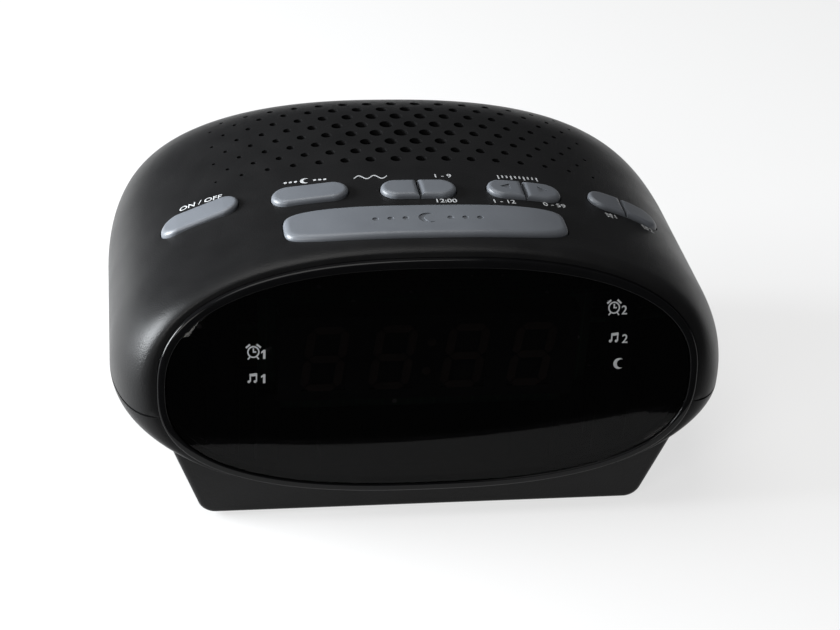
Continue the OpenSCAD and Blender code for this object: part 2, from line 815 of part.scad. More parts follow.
module tact_switches() {
    body_h = switch_h * 0.7;
    half_w = min(switch_w / 2, pair_half - key_gap);
    color([0.12, 0.12, 0.13])
    for (p = switch_spots)
        translate([p[0], p[1], key_board_z + board_t]) {
            block([-half_w, -switch_w / 2, 0], [half_w, switch_w / 2, body_h]);
            cylinder(d = switch_w * 0.55, h = switch_h, $fn = round_fn);
        }
}

module display_board() {
    color([0.1, 0.3, 0.16])
        block([-display_board_w / 2, display_board_y, display_board_low_z],
            [display_board_w / 2, display_board_y + board_t, display_z + display_h / 2 + past]);
}

// Display module with a shallow pocket for each of its four digits
module led_display() {
    digit_pitch = display_w / 4.4;
    pocket = 0.6;
    color([0.08, 0.07, 0.07])
    difference() {
        block([-display_w / 2, display_y, display_z - display_h / 2],
            [display_w / 2, display_board_y, display_z + display_h / 2]);
        for (i = [-1.5 : 1 : 1.5])
            translate([i * digit_pitch + sign(i) * pocket, display_y, display_z])
                block([-digit_h * 0.3, -past, -digit_h / 2], [digit_h * 0.3, pocket, digit_h / 2]);
    }
}

module main_board() {
    color([0.1, 0.3, 0.16])
    translate([main_board_x, main_board_y, main_board_z])
    difference() {
        cube([main_board_w, main_board_d, board_t]);
        for (x = [main_post_in, main_board_w - main_post_in], y = [main_post_in, main_board_d - main_post_in])
            post([x, y], small_clear_d, -past, board_t + past);
    }
}

// Tuner can, circuits and capacitors on the main board, placed by shares of its size
module chip(x, y, w, d, h) {
    translate([main_board_w * x, main_board_d * y, 0])
        block([-main_board_w * w / 2, -main_board_d * d / 2, 0],
            [main_board_w * w / 2, main_board_d * d / 2, h]);
}

module main_board_parts() {
    big_can = main_board_w * 0.13;
    small_can = main_board_w * 0.08;
    color([0.16, 0.16, 0.18])
    translate([main_board_x, main_board_y, main_board_z + board_t]) {
        chip(0.3, 0.32, 0.27, 0.23, tall_part_h * 0.65);
        chip(0.67, 0.3, 0.27, 0.13, tall_part_h * 0.25);
        chip(0.3, 0.7, 0.13, 0.27, tall_part_h * 0.27);
        for (p = [[0.57, 0.53], [0.74, 0.53], [0.57, 0.77]])
            post([main_board_w * p[0], main_board_d * p[1]], big_can, 0, tall_part_h);
        for (p = [[0.77, 0.73], [0.77, 0.86]])
            post([main_board_w * p[0], main_board_d * p[1]], small_can, 0, tall_part_h * 0.67);
    }
}

// Loudspeaker frame: a flange with four ears and a basket that narrows to the magnet
module speaker_frame() {
    shelf = frame_h - speaker_flange_t;
    basket_r = speaker_d / 2 - speaker_step;
    mouth_r = speaker_d / 2 - speaker_ring_t;
    color([0.45, 0.46, 0.48])
    translate([0, speaker_y, speaker_z - frame_h])
    difference() {
        union() {
            rotate_extrude($fn = 96)
                polygon([[0, 0], [magnet_d / 2, 0], [basket_r, shelf], [speaker_d / 2, shelf],
                    [speaker_d / 2, frame_h], [0, frame_h]]);
            for (a = [45 : 90 : 315])
                rotate(a) {
                    block([basket_r, -speaker_ear_r, shelf], [speaker_pcd / 2, speaker_ear_r, frame_h]);
                    post([speaker_pcd / 2, 0], 2 * speaker_ear_r, shelf, frame_h);
                }
        }
        rotate_extrude($fn = 96)
            polygon([[0, basket_t], [magnet_d / 2 - basket_t, basket_t], [basket_r - basket_t, shelf],
                [mouth_r, shelf], [mouth_r, frame_h + past], [0, frame_h + past]]);
        for (a = [45 : 90 : 315])
            rotate(a)
                post([speaker_pcd / 2, 0], small_clear_d, 0, frame_h + past);
    }
}

module speaker_magnet() {
    edge = 1;
    color([0.15, 0.15, 0.16])
    translate([0, speaker_y, speaker_z - frame_h - magnet_h])
        rotate_extrude($fn = 96)
            polygon([[0, 0], [magnet_d / 2 - edge, 0], [magnet_d / 2, edge], [magnet_d / 2, magnet_h - edge],
                [magnet_d / 2 - edge, magnet_h], [0, magnet_h]]);
}

// Paper cone with its dust cap and the voice coil former
module speaker_cone() {
    paper = 0.8;
    rim = 1;
    cap_h = 2;
    cap_r = magnet_d * 0.15;
    top_r = speaker_d / 2 - speaker_ring_t - cone_edge;
    low_r = magnet_d / 4;
    low = basket_t + cone_clear + cone_travel;
    high = frame_h - cone_clear / 2 - cone_travel;
    color([0.2, 0.2, 0.21])
    translate([0, speaker_y, speaker_z - frame_h])
        rotate_extrude($fn = 96)
            polygon([[0, low + cap_h], [cap_r, low + cap_h * 0.7], [low_r, low], [low_r + paper, low],
                [top_r - rim, high - paper], [top_r, high - paper], [top_r, high],
                [top_r - rim * 1.4, high], [low_r, low + paper + rim],
                [cap_r, low + cap_h * 1.2 + paper], [0, low + cap_h * 1.5 + paper]]);
}

// Pan-head screw with its head below and its shank pointing up
module screw(spot, seat_z, d, head_d, head_h, l) {
    translate([spot[0], spot[1], seat_z])
        rotate_extrude($fn = round_fn)
            polygon([[0, -head_h], [head_d * 0.35, -head_h], [head_d / 2, -head_h * 0.5], [head_d / 2, 0],
                [d / 2, 0], [d / 2, l - d / 2], [d / 6, l], [0, l]]);
}

module speaker_screws() {
    color([0.7, 0.7, 0.72])
    for (p = speaker_spots)
        screw(p, speaker_z - speaker_flange_t, small_screw_d, small_head_d, small_head_h,
            speaker_flange_t + speaker_screw_l);
}

module cabinet_screws() {
    color([0.7, 0.7, 0.72])
    for (p = pillar_spots)
        screw(p, screw_seat_z, screw_d, screw_head_d, screw_head_h, parting_z - screw_seat_z + screw_grip);
}

module board_screws() {
    color([0.7, 0.7, 0.72]) {
        for (p = key_board_spots)
            screw(p, key_board_z, small_screw_d, small_head_d, small_head_h, board_t + key_board_screw_l);
        for (p = main_board_spots)
            down_screw(p, main_board_z + board_t, board_t + main_screw_l);
        for (s = [-1, 1])
            down_screw([core_x + s * ear_x, core_y], floor_z + ear_boss_h + ear_t, ear_boss_h + ear_t - past);
    }
}

// Small screw that goes down into a post
module down_screw(spot, seat_z, l) {
    translate([0, 0, seat_z])
        mirror([0, 0, 1])
            screw(spot, 0, small_screw_d, small_head_d, small_head_h, l);
}

module ferrite_rod() {
    color([0.2, 0.2, 0.22])
    translate([rod_x, rod_y, rod_z])
        rotate([0, 90, 0])
            cylinder(d = rod_d, h = rod_l, center = true, $fn = round_fn);
}

module rod_coil() {
    coil_t = 1.4;
    color([0.72, 0.4, 0.2])
    translate([rod_x, rod_y, rod_z])
        rotate([0, 90, 0])
            difference() {
                cylinder(d = rod_d + 2 * coil_t + 2 * seat_gap, h = rod_l / 3, center = true, $fn = round_fn);
                cylinder(d = rod_d + 2 * seat_gap, h = rod_l, center = true, $fn = round_fn);
            }
}

// Laminated core with a window on each side of the middle limb and two fixing ears
module transformer_core() {
    color([0.3, 0.31, 0.33])
    translate([core_x, core_y, floor_z]) {
        difference() {
            block([-core_w / 2, -core_d / 4, ear_boss_h], [core_w / 2, core_d / 4, ear_boss_h + core_h]);
            for (s = [0, 1])
                mirror([s, 0, 0])
                    block([core_limb, -core_d, ear_boss_h + core_limb],
                        [core_w / 2 - core_limb / 2, core_d, ear_boss_h + core_h - core_limb]);
        }
        for (s = [-1, 1])
            difference() {
                translate([s * ear_x, 0, ear_boss_h])
                    block([-ear_w / 2, -core_d / 6, 0], [ear_w / 2, core_d / 6, ear_t]);
                post([s * ear_x, 0], small_clear_d, 0, ear_boss_h + ear_t + past);
            }
    }
}

// Coil round the middle limb of the core
module transformer_coil() {
    fit = 0.2;
    half = core_w / 2 - core_limb / 2 - fit;
    color([0.75, 0.62, 0.3])
    translate([core_x, core_y, floor_z + ear_boss_h])
    difference() {
        block([-half, -core_d / 2, core_limb + fit], [half, core_d / 2, core_h - core_limb - fit]);
        block([-core_limb - fit, -core_d / 4 - fit, 0], [core_limb + fit, core_d / 4 + fit, core_h]);
    }
}

module backup_cells() {
    edge = 0.6;
    nub_h = 0.8;
    nub_r = cell_d * 0.18;
    half = cell_l / 2;
    shoulder = half - nub_h;
    color([0.75, 0.6, 0.2])
    for (s = [-1, 1])
        translate([0, bay_y + s * cell_y, cell_z])
            rotate([0, 90, 0])
                rotate_extrude($fn = round_fn)
                    polygon([[0, -half], [cell_d / 2 - edge, -half], [cell_d / 2, -half + edge],
                        [cell_d / 2, shoulder - edge], [cell_d / 2 - edge, shoulder], [nub_r, shoulder],
                        [nub_r, half], [0, half]]);
}

// Contact plates on the end walls of the bay, each with a bump that meets the cell
module battery_contacts() {
    bump_l = bay_w / 2 - cell_l / 2 - contact_t - seat_gap;
    color([0.75, 0.76, 0.78])
    for (s = [-1, 1], t = [-1, 1])
        translate([s * bay_w / 2, bay_y + t * cell_y, cell_z])
            rotate([0, -90 * s, 0])
                rotate_extrude($fn = round_fn)
                    polygon([[0, 0], [cell_d * 0.4, 0], [cell_d * 0.4, contact_t], [cell_d * 0.3, contact_t],
                        [cell_d * 0.14, contact_t + bump_l], [0, contact_t + bump_l]]);
}

// Door in the floor, hooked over it by two tabs at the back, with a thumb notch in front
module battery_door() {
    notch_d = 14;
    color([0.05, 0.05, 0.055])
    difference() {
        union() {
            block([-bay_w / 2 + door_gap, bay_y - bay_d / 2 + door_gap, foot_h],
                [bay_w / 2 - door_gap, bay_y + bay_d / 2 - door_gap, floor_z]);
            for (s = [-1, 1])
                translate([s * bay_w / 4, bay_y + bay_d / 2, floor_z]) {
                    block([-tab_w / 2, -tab_l, -past / 2], [tab_w / 2, -door_gap, door_gap + tab_t]);
                    block([-tab_w / 2, -tab_l, door_gap],
                        [tab_w / 2, tab_l - 2 * door_gap, door_gap + tab_t]);
                }
        }
        translate([0, bay_y - bay_d / 2, foot_h])
            cylinder(d = notch_d, h = floor_t, center = true, $fn = round_fn);
    }
}

// Bush with a flange, let into the back wall
module cord_gland() {
    color([0.06, 0.06, 0.065])
    translate([gland_x, case_d / 2, gland_z])
        rotate([90, 0, 0])
            difference() {
                union() {
                    cylinder(d = gland_d, h = gland_flange_t - seat_gap, $fn = round_fn);
                    cylinder(d = gland_neck_d, h = wall + gland_tail, $fn = round_fn);
                }
                translate([0, 0, -past])
                    cylinder(d = gland_bore, h = wall + gland_tail + 2 * past, $fn = round_fn);
            }
}

module rubber_feet() {
    color([0.09, 0.09, 0.09])
    foot_spots()
        cylinder(d = foot_d, h = foot_h + floor_t / 2, $fn = round_fn);
}

top_cabinet();
bottom_cabinet();
lens_bezel();
front_lens();
snooze_key();
power_key();
sleep_key();
band_key();
preset_key();
tune_down_key();
tune_up_key();
alarm_one_key();
alarm_two_key();
key_board();
tact_switches();
display_board();
led_display();
main_board();
main_board_parts();
speaker_frame();
speaker_magnet();
speaker_cone();
speaker_screws();
ferrite_rod();
rod_coil();
transformer_core();
transformer_coil();
backup_cells();
battery_contacts();
battery_door();
cord_gland();
cabinet_screws();
board_screws();
rubber_feet();
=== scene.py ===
import math

import bmesh
import bpy
import numpy as np
from mathutils import Matrix, Vector


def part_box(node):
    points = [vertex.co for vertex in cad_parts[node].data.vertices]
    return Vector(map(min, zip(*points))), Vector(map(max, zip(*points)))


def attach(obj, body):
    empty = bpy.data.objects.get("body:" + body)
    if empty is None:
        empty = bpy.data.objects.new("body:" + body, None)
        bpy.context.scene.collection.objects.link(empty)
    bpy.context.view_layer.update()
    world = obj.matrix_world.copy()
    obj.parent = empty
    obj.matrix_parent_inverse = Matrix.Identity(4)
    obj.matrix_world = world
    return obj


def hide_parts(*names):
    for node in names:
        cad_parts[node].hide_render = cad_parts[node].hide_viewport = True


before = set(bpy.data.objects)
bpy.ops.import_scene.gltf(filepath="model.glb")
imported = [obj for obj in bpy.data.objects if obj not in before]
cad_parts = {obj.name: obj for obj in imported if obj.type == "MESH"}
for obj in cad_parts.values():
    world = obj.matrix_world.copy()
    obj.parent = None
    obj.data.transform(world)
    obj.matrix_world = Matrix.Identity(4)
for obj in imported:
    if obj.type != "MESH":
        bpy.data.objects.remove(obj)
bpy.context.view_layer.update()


# Lower half of the case: a black ABS moulding with a fine spark-eroded grain. The tapered pedestal
# that the radio stands on is moulded with it, and pillars inside it take the four case screws.
# Its top edge meets the upper half in a fine groove.
MM = 0.001
top_low, top_high = (np.array(corner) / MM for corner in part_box("top_cabinet"))
window_low, window_high = (np.array(corner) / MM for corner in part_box("lens_bezel"))
half_w = top_high[0]
crown_z = top_high[2]
parting_z = top_low[2]
back_y = top_high[1]
nose_y = window_low[1]
window_half_w = window_high[0]
window_half_h = (window_high[2] - window_low[2]) / 2
window_z = (window_high[2] + window_low[2]) / 2
window_n = 2.5
rim_t = 1.0
wall = 2.2
belly_z = 7.5
upper_n = 2.42
lower_n = 1.85
front_r = 182.0
nose_z = 10.0
corner_l = 27.0
crown_l = 5.0
collar_l = 5.0
lean_l = 60.0
back_side_l = 42.0
back_side_in = 14.0
back_top_l = 29.5
back_top_drop = 12.5
back_low_rise = 6.0
bezel_proud = 1.5
groove = 0.5
groove_in = 1.2
past = 1.0
same_spot = 1e-7


def front_y(z, behind=0.0):
    """The barrel-curved face of the bezel at a height, or a surface at a distance behind it."""
    return nose_y + front_r - np.sqrt((front_r - behind) ** 2 - (z - nose_z) ** 2)


mid_front_y = front_y(window_z, bezel_proud)
body_l = back_y - mid_front_y
rim_top_z = window_z + window_half_h + rim_t
rim_low_z = window_z - window_half_h - rim_t


def unit(v):
    return np.clip(v, 0.0, 1.0)


def bulge(wave, power):
    return np.sign(wave) * np.abs(wave) ** power


def corner(d, length):
    return np.sqrt(1 - (1 - unit(d / length)) ** 2)


def roll_off(d, length):
    return 1 - np.sqrt(1 - unit((d - body_l + length) / length) ** 2)


def rim_x(z):
    """Half width of the case rim that frames the window."""
    share = unit(1 - (np.abs(z - window_z) / (window_half_h + rim_t)) ** window_n)
    return (window_half_w + rim_t) * share ** (1 / window_n)


def side_at(d):
    front = rim_x(parting_z)
    return front + (half_w - front) * corner(d, corner_l) - back_side_in * roll_off(d, back_side_l)


def crown_at(d):
    return rim_top_z + (crown_z - rim_top_z) * corner(d, crown_l) - back_top_drop * roll_off(d, back_top_l)


def belly_at(d):
    sag = (belly_z - rim_low_z) * corner(d, corner_l)
    return rim_low_z + sag + back_low_rise * roll_off(d, back_side_l)


def case_y(d, z):
    lean = unit((lean_l - d) / (lean_l - collar_l))
    return mid_front_y + d + (front_y(z, bezel_proud) - mid_front_y) * lean


def half_section(side, d, turns, inset=0.0):
    """Points round one half of the case at a depth: side is 1 for the upper half, -1 for the lower."""
    power = 2 / (upper_n if side > 0 else lower_n)
    across = bulge(np.cos(turns), power)
    rise = np.abs(np.sin(turns)) ** power
    rim_h = rim_top_z - parting_z if side > 0 else parting_z - rim_low_z
    full_h = crown_at(d) - parting_z if side > 0 else parting_z - belly_at(d)
    blend = corner(d, corner_l)
    x = np.sign(across) * rim_x(parting_z + side * rim_h * rise) * (1 - blend)
    x = x + across * (half_w * blend - back_side_in * roll_off(d, back_side_l))
    z = parting_z + side * (full_h - inset) * rise
    return np.stack([x * (1 - inset / side_at(d)), case_y(d, z), z], axis=-1)


def across_cap(start, count):
    """Faces over a ring that is the same left and right, each from one side to the other."""
    rows = range((count - 1) // 2)
    last = start + count - 1
    return [tuple(dict.fromkeys((start + j, start + j + 1, last - 1 - j, last - j))) for j in rows]


def flat_cap(start, count):
    return [tuple(range(start, start + count))]


def add_object(name, data):
    obj = bpy.data.objects.new(name, data)
    bpy.context.scene.collection.objects.link(obj)
    return obj


def solid(name, points, faces):
    """A closed mesh object from points in millimetres, with its faces turned outwards."""
    mesh = bpy.data.meshes.new(name)
    mesh.from_pydata((np.asarray(points, float) * MM).tolist(), [], faces)
    work = bmesh.new()
    work.from_mesh(mesh)
    bmesh.ops.remove_doubles(work, verts=work.verts, dist=same_spot)
    bmesh.ops.dissolve_degenerate(work, edges=work.edges, dist=same_spot)
    bmesh.ops.recalc_face_normals(work, faces=work.faces)
    work.to_mesh(mesh)
    work.free()
    return add_object(name, mesh)


def loft(name, rings, cap=flat_cap):
    """Skin over closed rings of equally many points. Without a cap the last ring joins the first."""
    count = len(rings[0])
    spans = len(rings) - (cap is not None)
    faces = []
    for i in range(spans):
        a, b = i * count, (i + 1) % len(rings) * count
        faces += [(a + j, a + (j + 1) % count, b + (j + 1) % count, b + j) for j in range(count)]
    if cap:
        faces += cap(0, count) + cap((len(rings) - 1) * count, count)
    return solid(name, np.concatenate(rings), faces)


def settle(obj):
    """Turns the modifiers of an object into plain mesh."""
    shape = obj.evaluated_get(bpy.context.evaluated_depsgraph_get())
    mesh = bpy.data.meshes.new_from_object(shape)
    mesh.name = obj.name
    obj.modifiers.clear()
    obj.data = mesh
    return obj


def carve(obj, *tools, operation="DIFFERENCE"):
    """Cuts tools out of an object, or joins them to it, and removes the tools."""
    for tool in tools:
        step = obj.modifiers.new(tool.name, "BOOLEAN")
        step.operation = operation
        step.solver = "MANIFOLD"
        step.object = tool
    settle(obj)
    for tool in tools:
        bpy.data.objects.remove(tool)
    return obj


def smooth(obj, angle=32):
    obj.data.shade_smooth()
    obj.data.set_sharp_from_angle(angle=math.radians(angle))
    return obj


def circle(x, y, z, d, sides=48):
    turns = np.linspace(0, 2 * math.pi, sides, endpoint=False)
    return np.stack([x + d / 2 * np.cos(turns), y + d / 2 * np.sin(turns), np.full(sides, z)], axis=-1)


def post(spot, d, low, high):
    return loft("post", [circle(*spot, z, d) for z in (low, high)])


def block(low, high):
    plan = np.array([[low[0], low[1]], [high[0], low[1]], [high[0], high[1]], [low[0], high[1]]])
    return loft("block", [np.insert(plan, 2, z, axis=1) for z in (low[2], high[2])])


def half_case(side, name, depths, steps, inset=0.0, reach=0.0):
    """Solid of one half of the case. With no inset it has the groove at the joint, and with an
    inset it is the hollow inside, which reaches past the joint."""
    lip = (groove / (crown_z - parting_z)) ** (upper_n / 2)
    turns = np.concatenate([[0, lip], np.linspace(0, math.pi, steps + 1)[1:-1], [math.pi - lip, math.pi]])
    rings = []
    for d in depths:
        ring = half_section(side, d, turns, inset)
        if reach:
            ends = ring[[0, -1]] - [0, 0, side * reach]
            ring = np.concatenate([ends[:1], ring, ends[1:]])
        else:
            ring[[0, -1], 0] *= 1 - groove_in / side_at(d)
        rings.append(ring)
    return loft(name, rings, across_cap)


front_turns = np.linspace(0, math.pi / 2, 30)
case_depths = np.concatenate([corner_l * (1 - np.cos(front_turns)),
    np.linspace(corner_l, body_l - back_side_l, 18)[1:-1],
    body_l - back_side_l * (1 - np.sin(front_turns))])
hollow_depths = np.concatenate([[collar_l],
    [d for d in case_depths[::3] if collar_l + past < d < body_l - wall - past], [body_l - wall]])
section_steps = 120
hollow_steps = 48


def window_ring(grow, behind=0.0, y=None, count=160):
    """Oval of the window, grown by an amount, on a surface behind the front or on a flat plane."""
    turns = (np.arange(count) + 0.5) / count * 2 * math.pi - math.pi / 2
    x = bulge(np.cos(turns), 2 / window_n) * (window_half_w + grow)
    z = bulge(np.sin(turns), 2 / window_n) * (window_half_h + grow) + window_z
    return np.stack([x, front_y(z, behind) if y is None else np.full(count, y), z], axis=-1)


seat_l = 3.0
seat_gap = 0.1
bezel_t = 2.1
ledge_t = 1.0


def window_cuts():
    """The seat of the bezel and the lens, and the opening through the ledge behind it."""
    clear_y = nose_y - 10 * past
    seat = loft("seat", [window_ring(seat_gap, y=clear_y), window_ring(seat_gap, seat_l)], across_cap)
    hole = -bezel_t - ledge_t
    end = window_ring(hole, bezel_proud + collar_l + past)
    opening = loft("opening", [window_ring(hole, y=clear_y), end], across_cap)
    return seat, opening


base_half_w = 60.0
base_flare = 0.39
base_front_y = -55.4
base_back_y = 44.0
base_top_z = 22.0
base_round = 5.0
base_edge = 1.2
base_least_r = 0.5
foot_h = 0.8
floor_t = 2.0
floor_z = foot_h + floor_t


def pedestal_ring(inset, low, y):
    """Front outline of the pedestal: rounded bottom corners and flared sides."""
    half = base_half_w - inset
    slant = math.atan(base_flare)
    r = max(base_least_r, base_round - inset)
    cx = half - r * (1 - math.sin(slant)) / math.cos(slant)
    turns = np.linspace(-math.pi / 2, -slant, 13)
    right = np.stack([cx + r * np.cos(turns), low + r + r * np.sin(turns)], axis=-1)
    right = np.concatenate([right, [[half + base_flare * (base_top_z - low), base_top_z]]])
    outline = np.concatenate([right, (right * [-1, 1])[::-1]])
    return np.stack([outline[:, 0], np.full(len(outline), y), outline[:, 1]], axis=-1)


edge_turns = np.linspace(0, math.pi / 2, 6)
edge_steps = [(base_edge * (1 - math.sin(t)), base_edge * (1 - math.cos(t))) for t in edge_turns]
pedestal_rings = [pedestal_ring(i, foot_h + i, base_front_y + y) for i, y in edge_steps]
pedestal_rings += [pedestal_ring(i, foot_h + i, base_back_y - y) for i, y in reversed(edge_steps)]
hollow_rings = [pedestal_ring(wall, floor_z, y) for y in (base_front_y + wall, base_back_y - wall)]

screw_d = 3.0
screw_hole_d = screw_d + 0.2
screw_well_d = 2 * screw_d + 0.6
screw_grip = 12.0
screw_seat_z = parting_z - screw_grip
pillar_d = 3 * screw_d
pillar_spots = [(x, y) for x in (-54.0, 54.0) for y in (-41.0, 36.0)]
bay_low = np.array([-25.25, -37.2, 0.0])
bay_high = np.array([25.25, -13.2, floor_z + 11.5])
bay_t = 1.4
hook_xs = (bay_low[0] / 2, bay_high[0] / 2)
hook_half_w, hook_l, hook_h = 4.3, 2.2, 4.0
foot_d = 10.0
foot_spots = [(x, y) for x in (-42.0, 42.0) for y in (-47.4, 36.0)]
boss_d = 6.0
main_post_z = 20.0
main_post_spots = [(x, y) for x in (2.0, 54.0) for y in (-26.2, 25.8)]
core_x, core_y, core_ear, core_boss_h = -33.0, 12.0, 21.0, 4.0
rod_x, rod_y, rod_z, rod_l, rod_seat_d = 10.0, 46.8, 27.5, 60.0, 8.2
rod_post_xs = (rod_x - rod_l / 3, rod_x + rod_l / 3)
rod_post_half_w, rod_post_half_l = 2.0, 5.0
gland_x, gland_z, gland_d, gland_flange_d = -32.0, 25.0, 9.2, 12.2
display_post_xs, display_board_y, display_low_z = (-42.0, 42.0), -40.5, 24.5
display_post_half_w, display_post_l, display_post_back, display_post_h = 3.0, 3.0, 4.6, 6.5
slot_half_w, slot_front, slot_back = 6.0, 0.15, 1.75

bottom = half_case(-1, "bottom_cabinet_shell", case_depths, section_steps)
carve(bottom, loft("pedestal", pedestal_rings), operation="UNION")
hollow = half_case(-1, "hollow", hollow_depths, hollow_steps, wall, past)
carve(hollow, loft("pedestal_hollow", hollow_rings), operation="UNION")
carve(hollow, block(bay_low - bay_t, bay_high + bay_t),
    *[post(spot, pillar_d, 0, parting_z) for spot in pillar_spots],
    *[post(spot, boss_d, 0, main_post_z) for spot in main_post_spots],
    *[post((core_x + s * core_ear, core_y), boss_d, 0, floor_z + core_boss_h) for s in (-1, 1)],
    *[block((x - rod_post_half_w, rod_y - rod_post_half_l, 0),
        (x + rod_post_half_w, rod_y + rod_post_half_l, rod_z)) for x in rod_post_xs],
    *[block((x - display_post_half_w, display_board_y - display_post_l, 0),
        (x + display_post_half_w, display_board_y + display_post_back, display_low_z + display_post_h))
        for x in display_post_xs])


def along_y(spot, d, low, high):
    """A round bar along the depth of the case."""
    ring = circle(spot[0], spot[1], 0, d)[:, [0, 2, 1]]
    return loft("bar", [ring + [0, y, 0] for y in (low, high)])


def along_x(spot, d, low, high):
    """A round bar across the case."""
    ring = circle(spot[0], spot[1], 0, d)[:, [2, 0, 1]]
    return loft("bar", [ring + [x, 0, 0] for x in (low, high)])


carve(bottom, hollow, *window_cuts(), block(bay_low, bay_high),
    *[post(spot, foot_d + 2 * seat_gap, 0, foot_h + floor_t / 2) for spot in foot_spots],
    *[post(spot, screw_well_d, 0, screw_seat_z) for spot in pillar_spots],
    *[post(spot, screw_hole_d, screw_seat_z - past, parting_z + past) for spot in pillar_spots],
    along_x((rod_y, rod_z), rod_seat_d, rod_x - rod_l / 2, rod_x + rod_l / 2),
    along_y((gland_x, gland_z), gland_flange_d, back_y - wall / 2, back_y + past),
    along_y((gland_x, gland_z), gland_d, back_y - 4 * wall, back_y + past),
    *[block((x - hook_half_w, bay_high[1] - past, floor_z),
        (x + hook_half_w, bay_high[1] + hook_l, floor_z + hook_h)) for x in hook_xs],
    *[block((x - slot_half_w, display_board_y - slot_front, display_low_z - seat_gap),
        (x + slot_half_w, display_board_y + slot_back, parting_z)) for x in display_post_xs])
smooth(bottom)


def fill(tree, node, values):
    """Gives inputs of a node plain values, or joins them to outputs of other nodes."""
    for label, value in values.items():
        if isinstance(value, bpy.types.NodeSocket):
            tree.links.new(value, node.inputs[label])
        else:
            node.inputs[label].default_value = value


def add_node(tree, kind, values, **options):
    """A new node with its options and inputs. What comes back are its outputs."""
    node = tree.nodes.new(kind)
    for label, value in options.items():
        setattr(node, label, value)
    fill(tree, node, values)
    return node.outputs


def new_group(name, kind, takes, gives):
    """A node group with its sockets, the outputs of its entry and its exit."""
    group = bpy.data.node_groups.new(name, kind)
    for way, sockets in (("INPUT", takes), ("OUTPUT", gives)):
        for label, socket in sockets.items():
            group.interface.new_socket(label, in_out=way, socket_type="NodeSocket" + socket)
    return group, group.nodes.new("NodeGroupInput").outputs, group.nodes.new("NodeGroupOutput")


def two_tone(tree, share, dark, light):
    """A colour between two others."""
    values = {"Factor": share, "A": dark, "B": light}
    return add_node(tree, "ShaderNodeMix", values, data_type="RGBA")["Result"]


def new_finish(name):
    """A new material, its nodes and its shader."""
    material = bpy.data.materials.new(name)
    material.use_nodes = True
    return material, material.node_tree, material.node_tree.nodes["Principled BSDF"]


cloud_scale = 90.0
speck_share = 0.5
grain, grain_in, grain_out = new_group("moulded_grain", "ShaderNodeTree",
    {"Dark": "Color", "Light": "Color", "Grains per metre": "Float",
        "Smoothest": "Float", "Roughest": "Float"},
    {"Colour": "Color", "Roughness": "Float", "Height": "Float"})
grain_place = add_node(grain, "ShaderNodeTexCoord", {})["Object"]
grain_fine = add_node(grain, "ShaderNodeTexNoise",
    {"Vector": grain_place, "Scale": grain_in["Grains per metre"], "Detail": 1.0})["Fac"]
grain_cloud = add_node(grain, "ShaderNodeTexNoise",
    {"Vector": grain_place, "Scale": cloud_scale, "Detail": 3.0})["Fac"]
grain_speck = add_node(grain, "ShaderNodeMath",
    {0: grain_fine, 1: speck_share, 2: grain_cloud}, operation="MULTIPLY_ADD")[0]
grain_tint = two_tone(grain, grain_speck, grain_in["Dark"], grain_in["Light"])
grain_shine = add_node(grain, "ShaderNodeMapRange", {"Value": grain_cloud, "From Min": 0.3, "From Max": 0.7,
    "To Min": grain_in["Smoothest"], "To Max": grain_in["Roughest"]})["Result"]
fill(grain, grain_out, {"Colour": grain_tint, "Roughness": grain_shine, "Height": grain_fine})


def moulded(name, dark, light, smoothest, roughest, grain_size, bump, shine=0.5):
    """A moulded finish: mottled colour and gloss, with a grain of a size and depth in millimetres."""
    material, tree, shader = new_finish(name)
    surface = add_node(tree, "ShaderNodeGroup", {"Dark": (*dark, 1), "Light": (*light, 1),
        "Grains per metre": 1 / (grain_size * MM), "Smoothest": smoothest, "Roughest": roughest},
        node_tree=grain)
    relief = add_node(tree, "ShaderNodeBump", {"Distance": bump * MM, "Height": surface["Height"]})
    fill(tree, shader, {"Base Color": surface["Colour"], "Roughness": surface["Roughness"],
        "Normal": relief["Normal"], "Specular IOR Level": shine})
    return material


case_black = moulded("case_black", (0.0042, 0.0042, 0.0044), (0.0098, 0.0097, 0.01),
    0.31, 0.37, 0.4, 0.06, 0.15)


def put_in(obj, body, material, slot, *nodes):
    """Gives a finished piece its material and its body, and hides the CAD nodes it stands for. The slot is
    not used.
    """
    obj.data.materials.clear()
    obj.data.materials.append(material)
    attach(obj, body)
    if nodes:
        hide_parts(*nodes)
    return obj


put_in(bottom, "case", case_black, "case_black", "bottom_cabinet")


# Rubber feet: four discs with a domed rim and a dished underside, glued into round pockets in the
# floor of the pedestal. They are moulded in soft dark rubber.
at_points, points_in, points_out = new_group("copies_at_points", "GeometryNodeTree",
    {"Points": "Geometry", "Piece": "Object", "Finish": "Material"}, {"Copies": "Geometry"})
one_piece = add_node(at_points, "GeometryNodeObjectInfo", {"Object": points_in["Piece"]})
all_pieces = add_node(at_points, "GeometryNodeInstanceOnPoints",
    {"Points": points_in["Points"], "Instance": one_piece["Geometry"]})
whole_pieces = add_node(at_points, "GeometryNodeRealizeInstances", {"Geometry": all_pieces["Instances"]})
coated_pieces = add_node(at_points, "GeometryNodeSetMaterial",
    {"Geometry": whole_pieces["Geometry"], "Material": points_in["Finish"]})
fill(at_points, points_out, {"Copies": coated_pieces["Geometry"]})


def run_nodes(obj, group, values):
    """Runs geometry nodes on an object and keeps what they make as plain mesh."""
    step = obj.modifiers.new(group.name, "NODES")
    step.node_group = group
    for item in group.interface.items_tree:
        if item.name in values:
            step[item.identifier] = values[item.name]
    return settle(obj)


def repeat(name, piece, spots, material):
    """One mesh with a copy of a piece at each spot. The piece itself is removed."""
    mesh = bpy.data.meshes.new(name)
    mesh.from_pydata((np.array(spots, float) * MM).tolist(), [], [])
    obj = run_nodes(add_object(name, mesh), at_points, {"Piece": piece, "Finish": material})
    bpy.data.objects.remove(piece)
    return obj


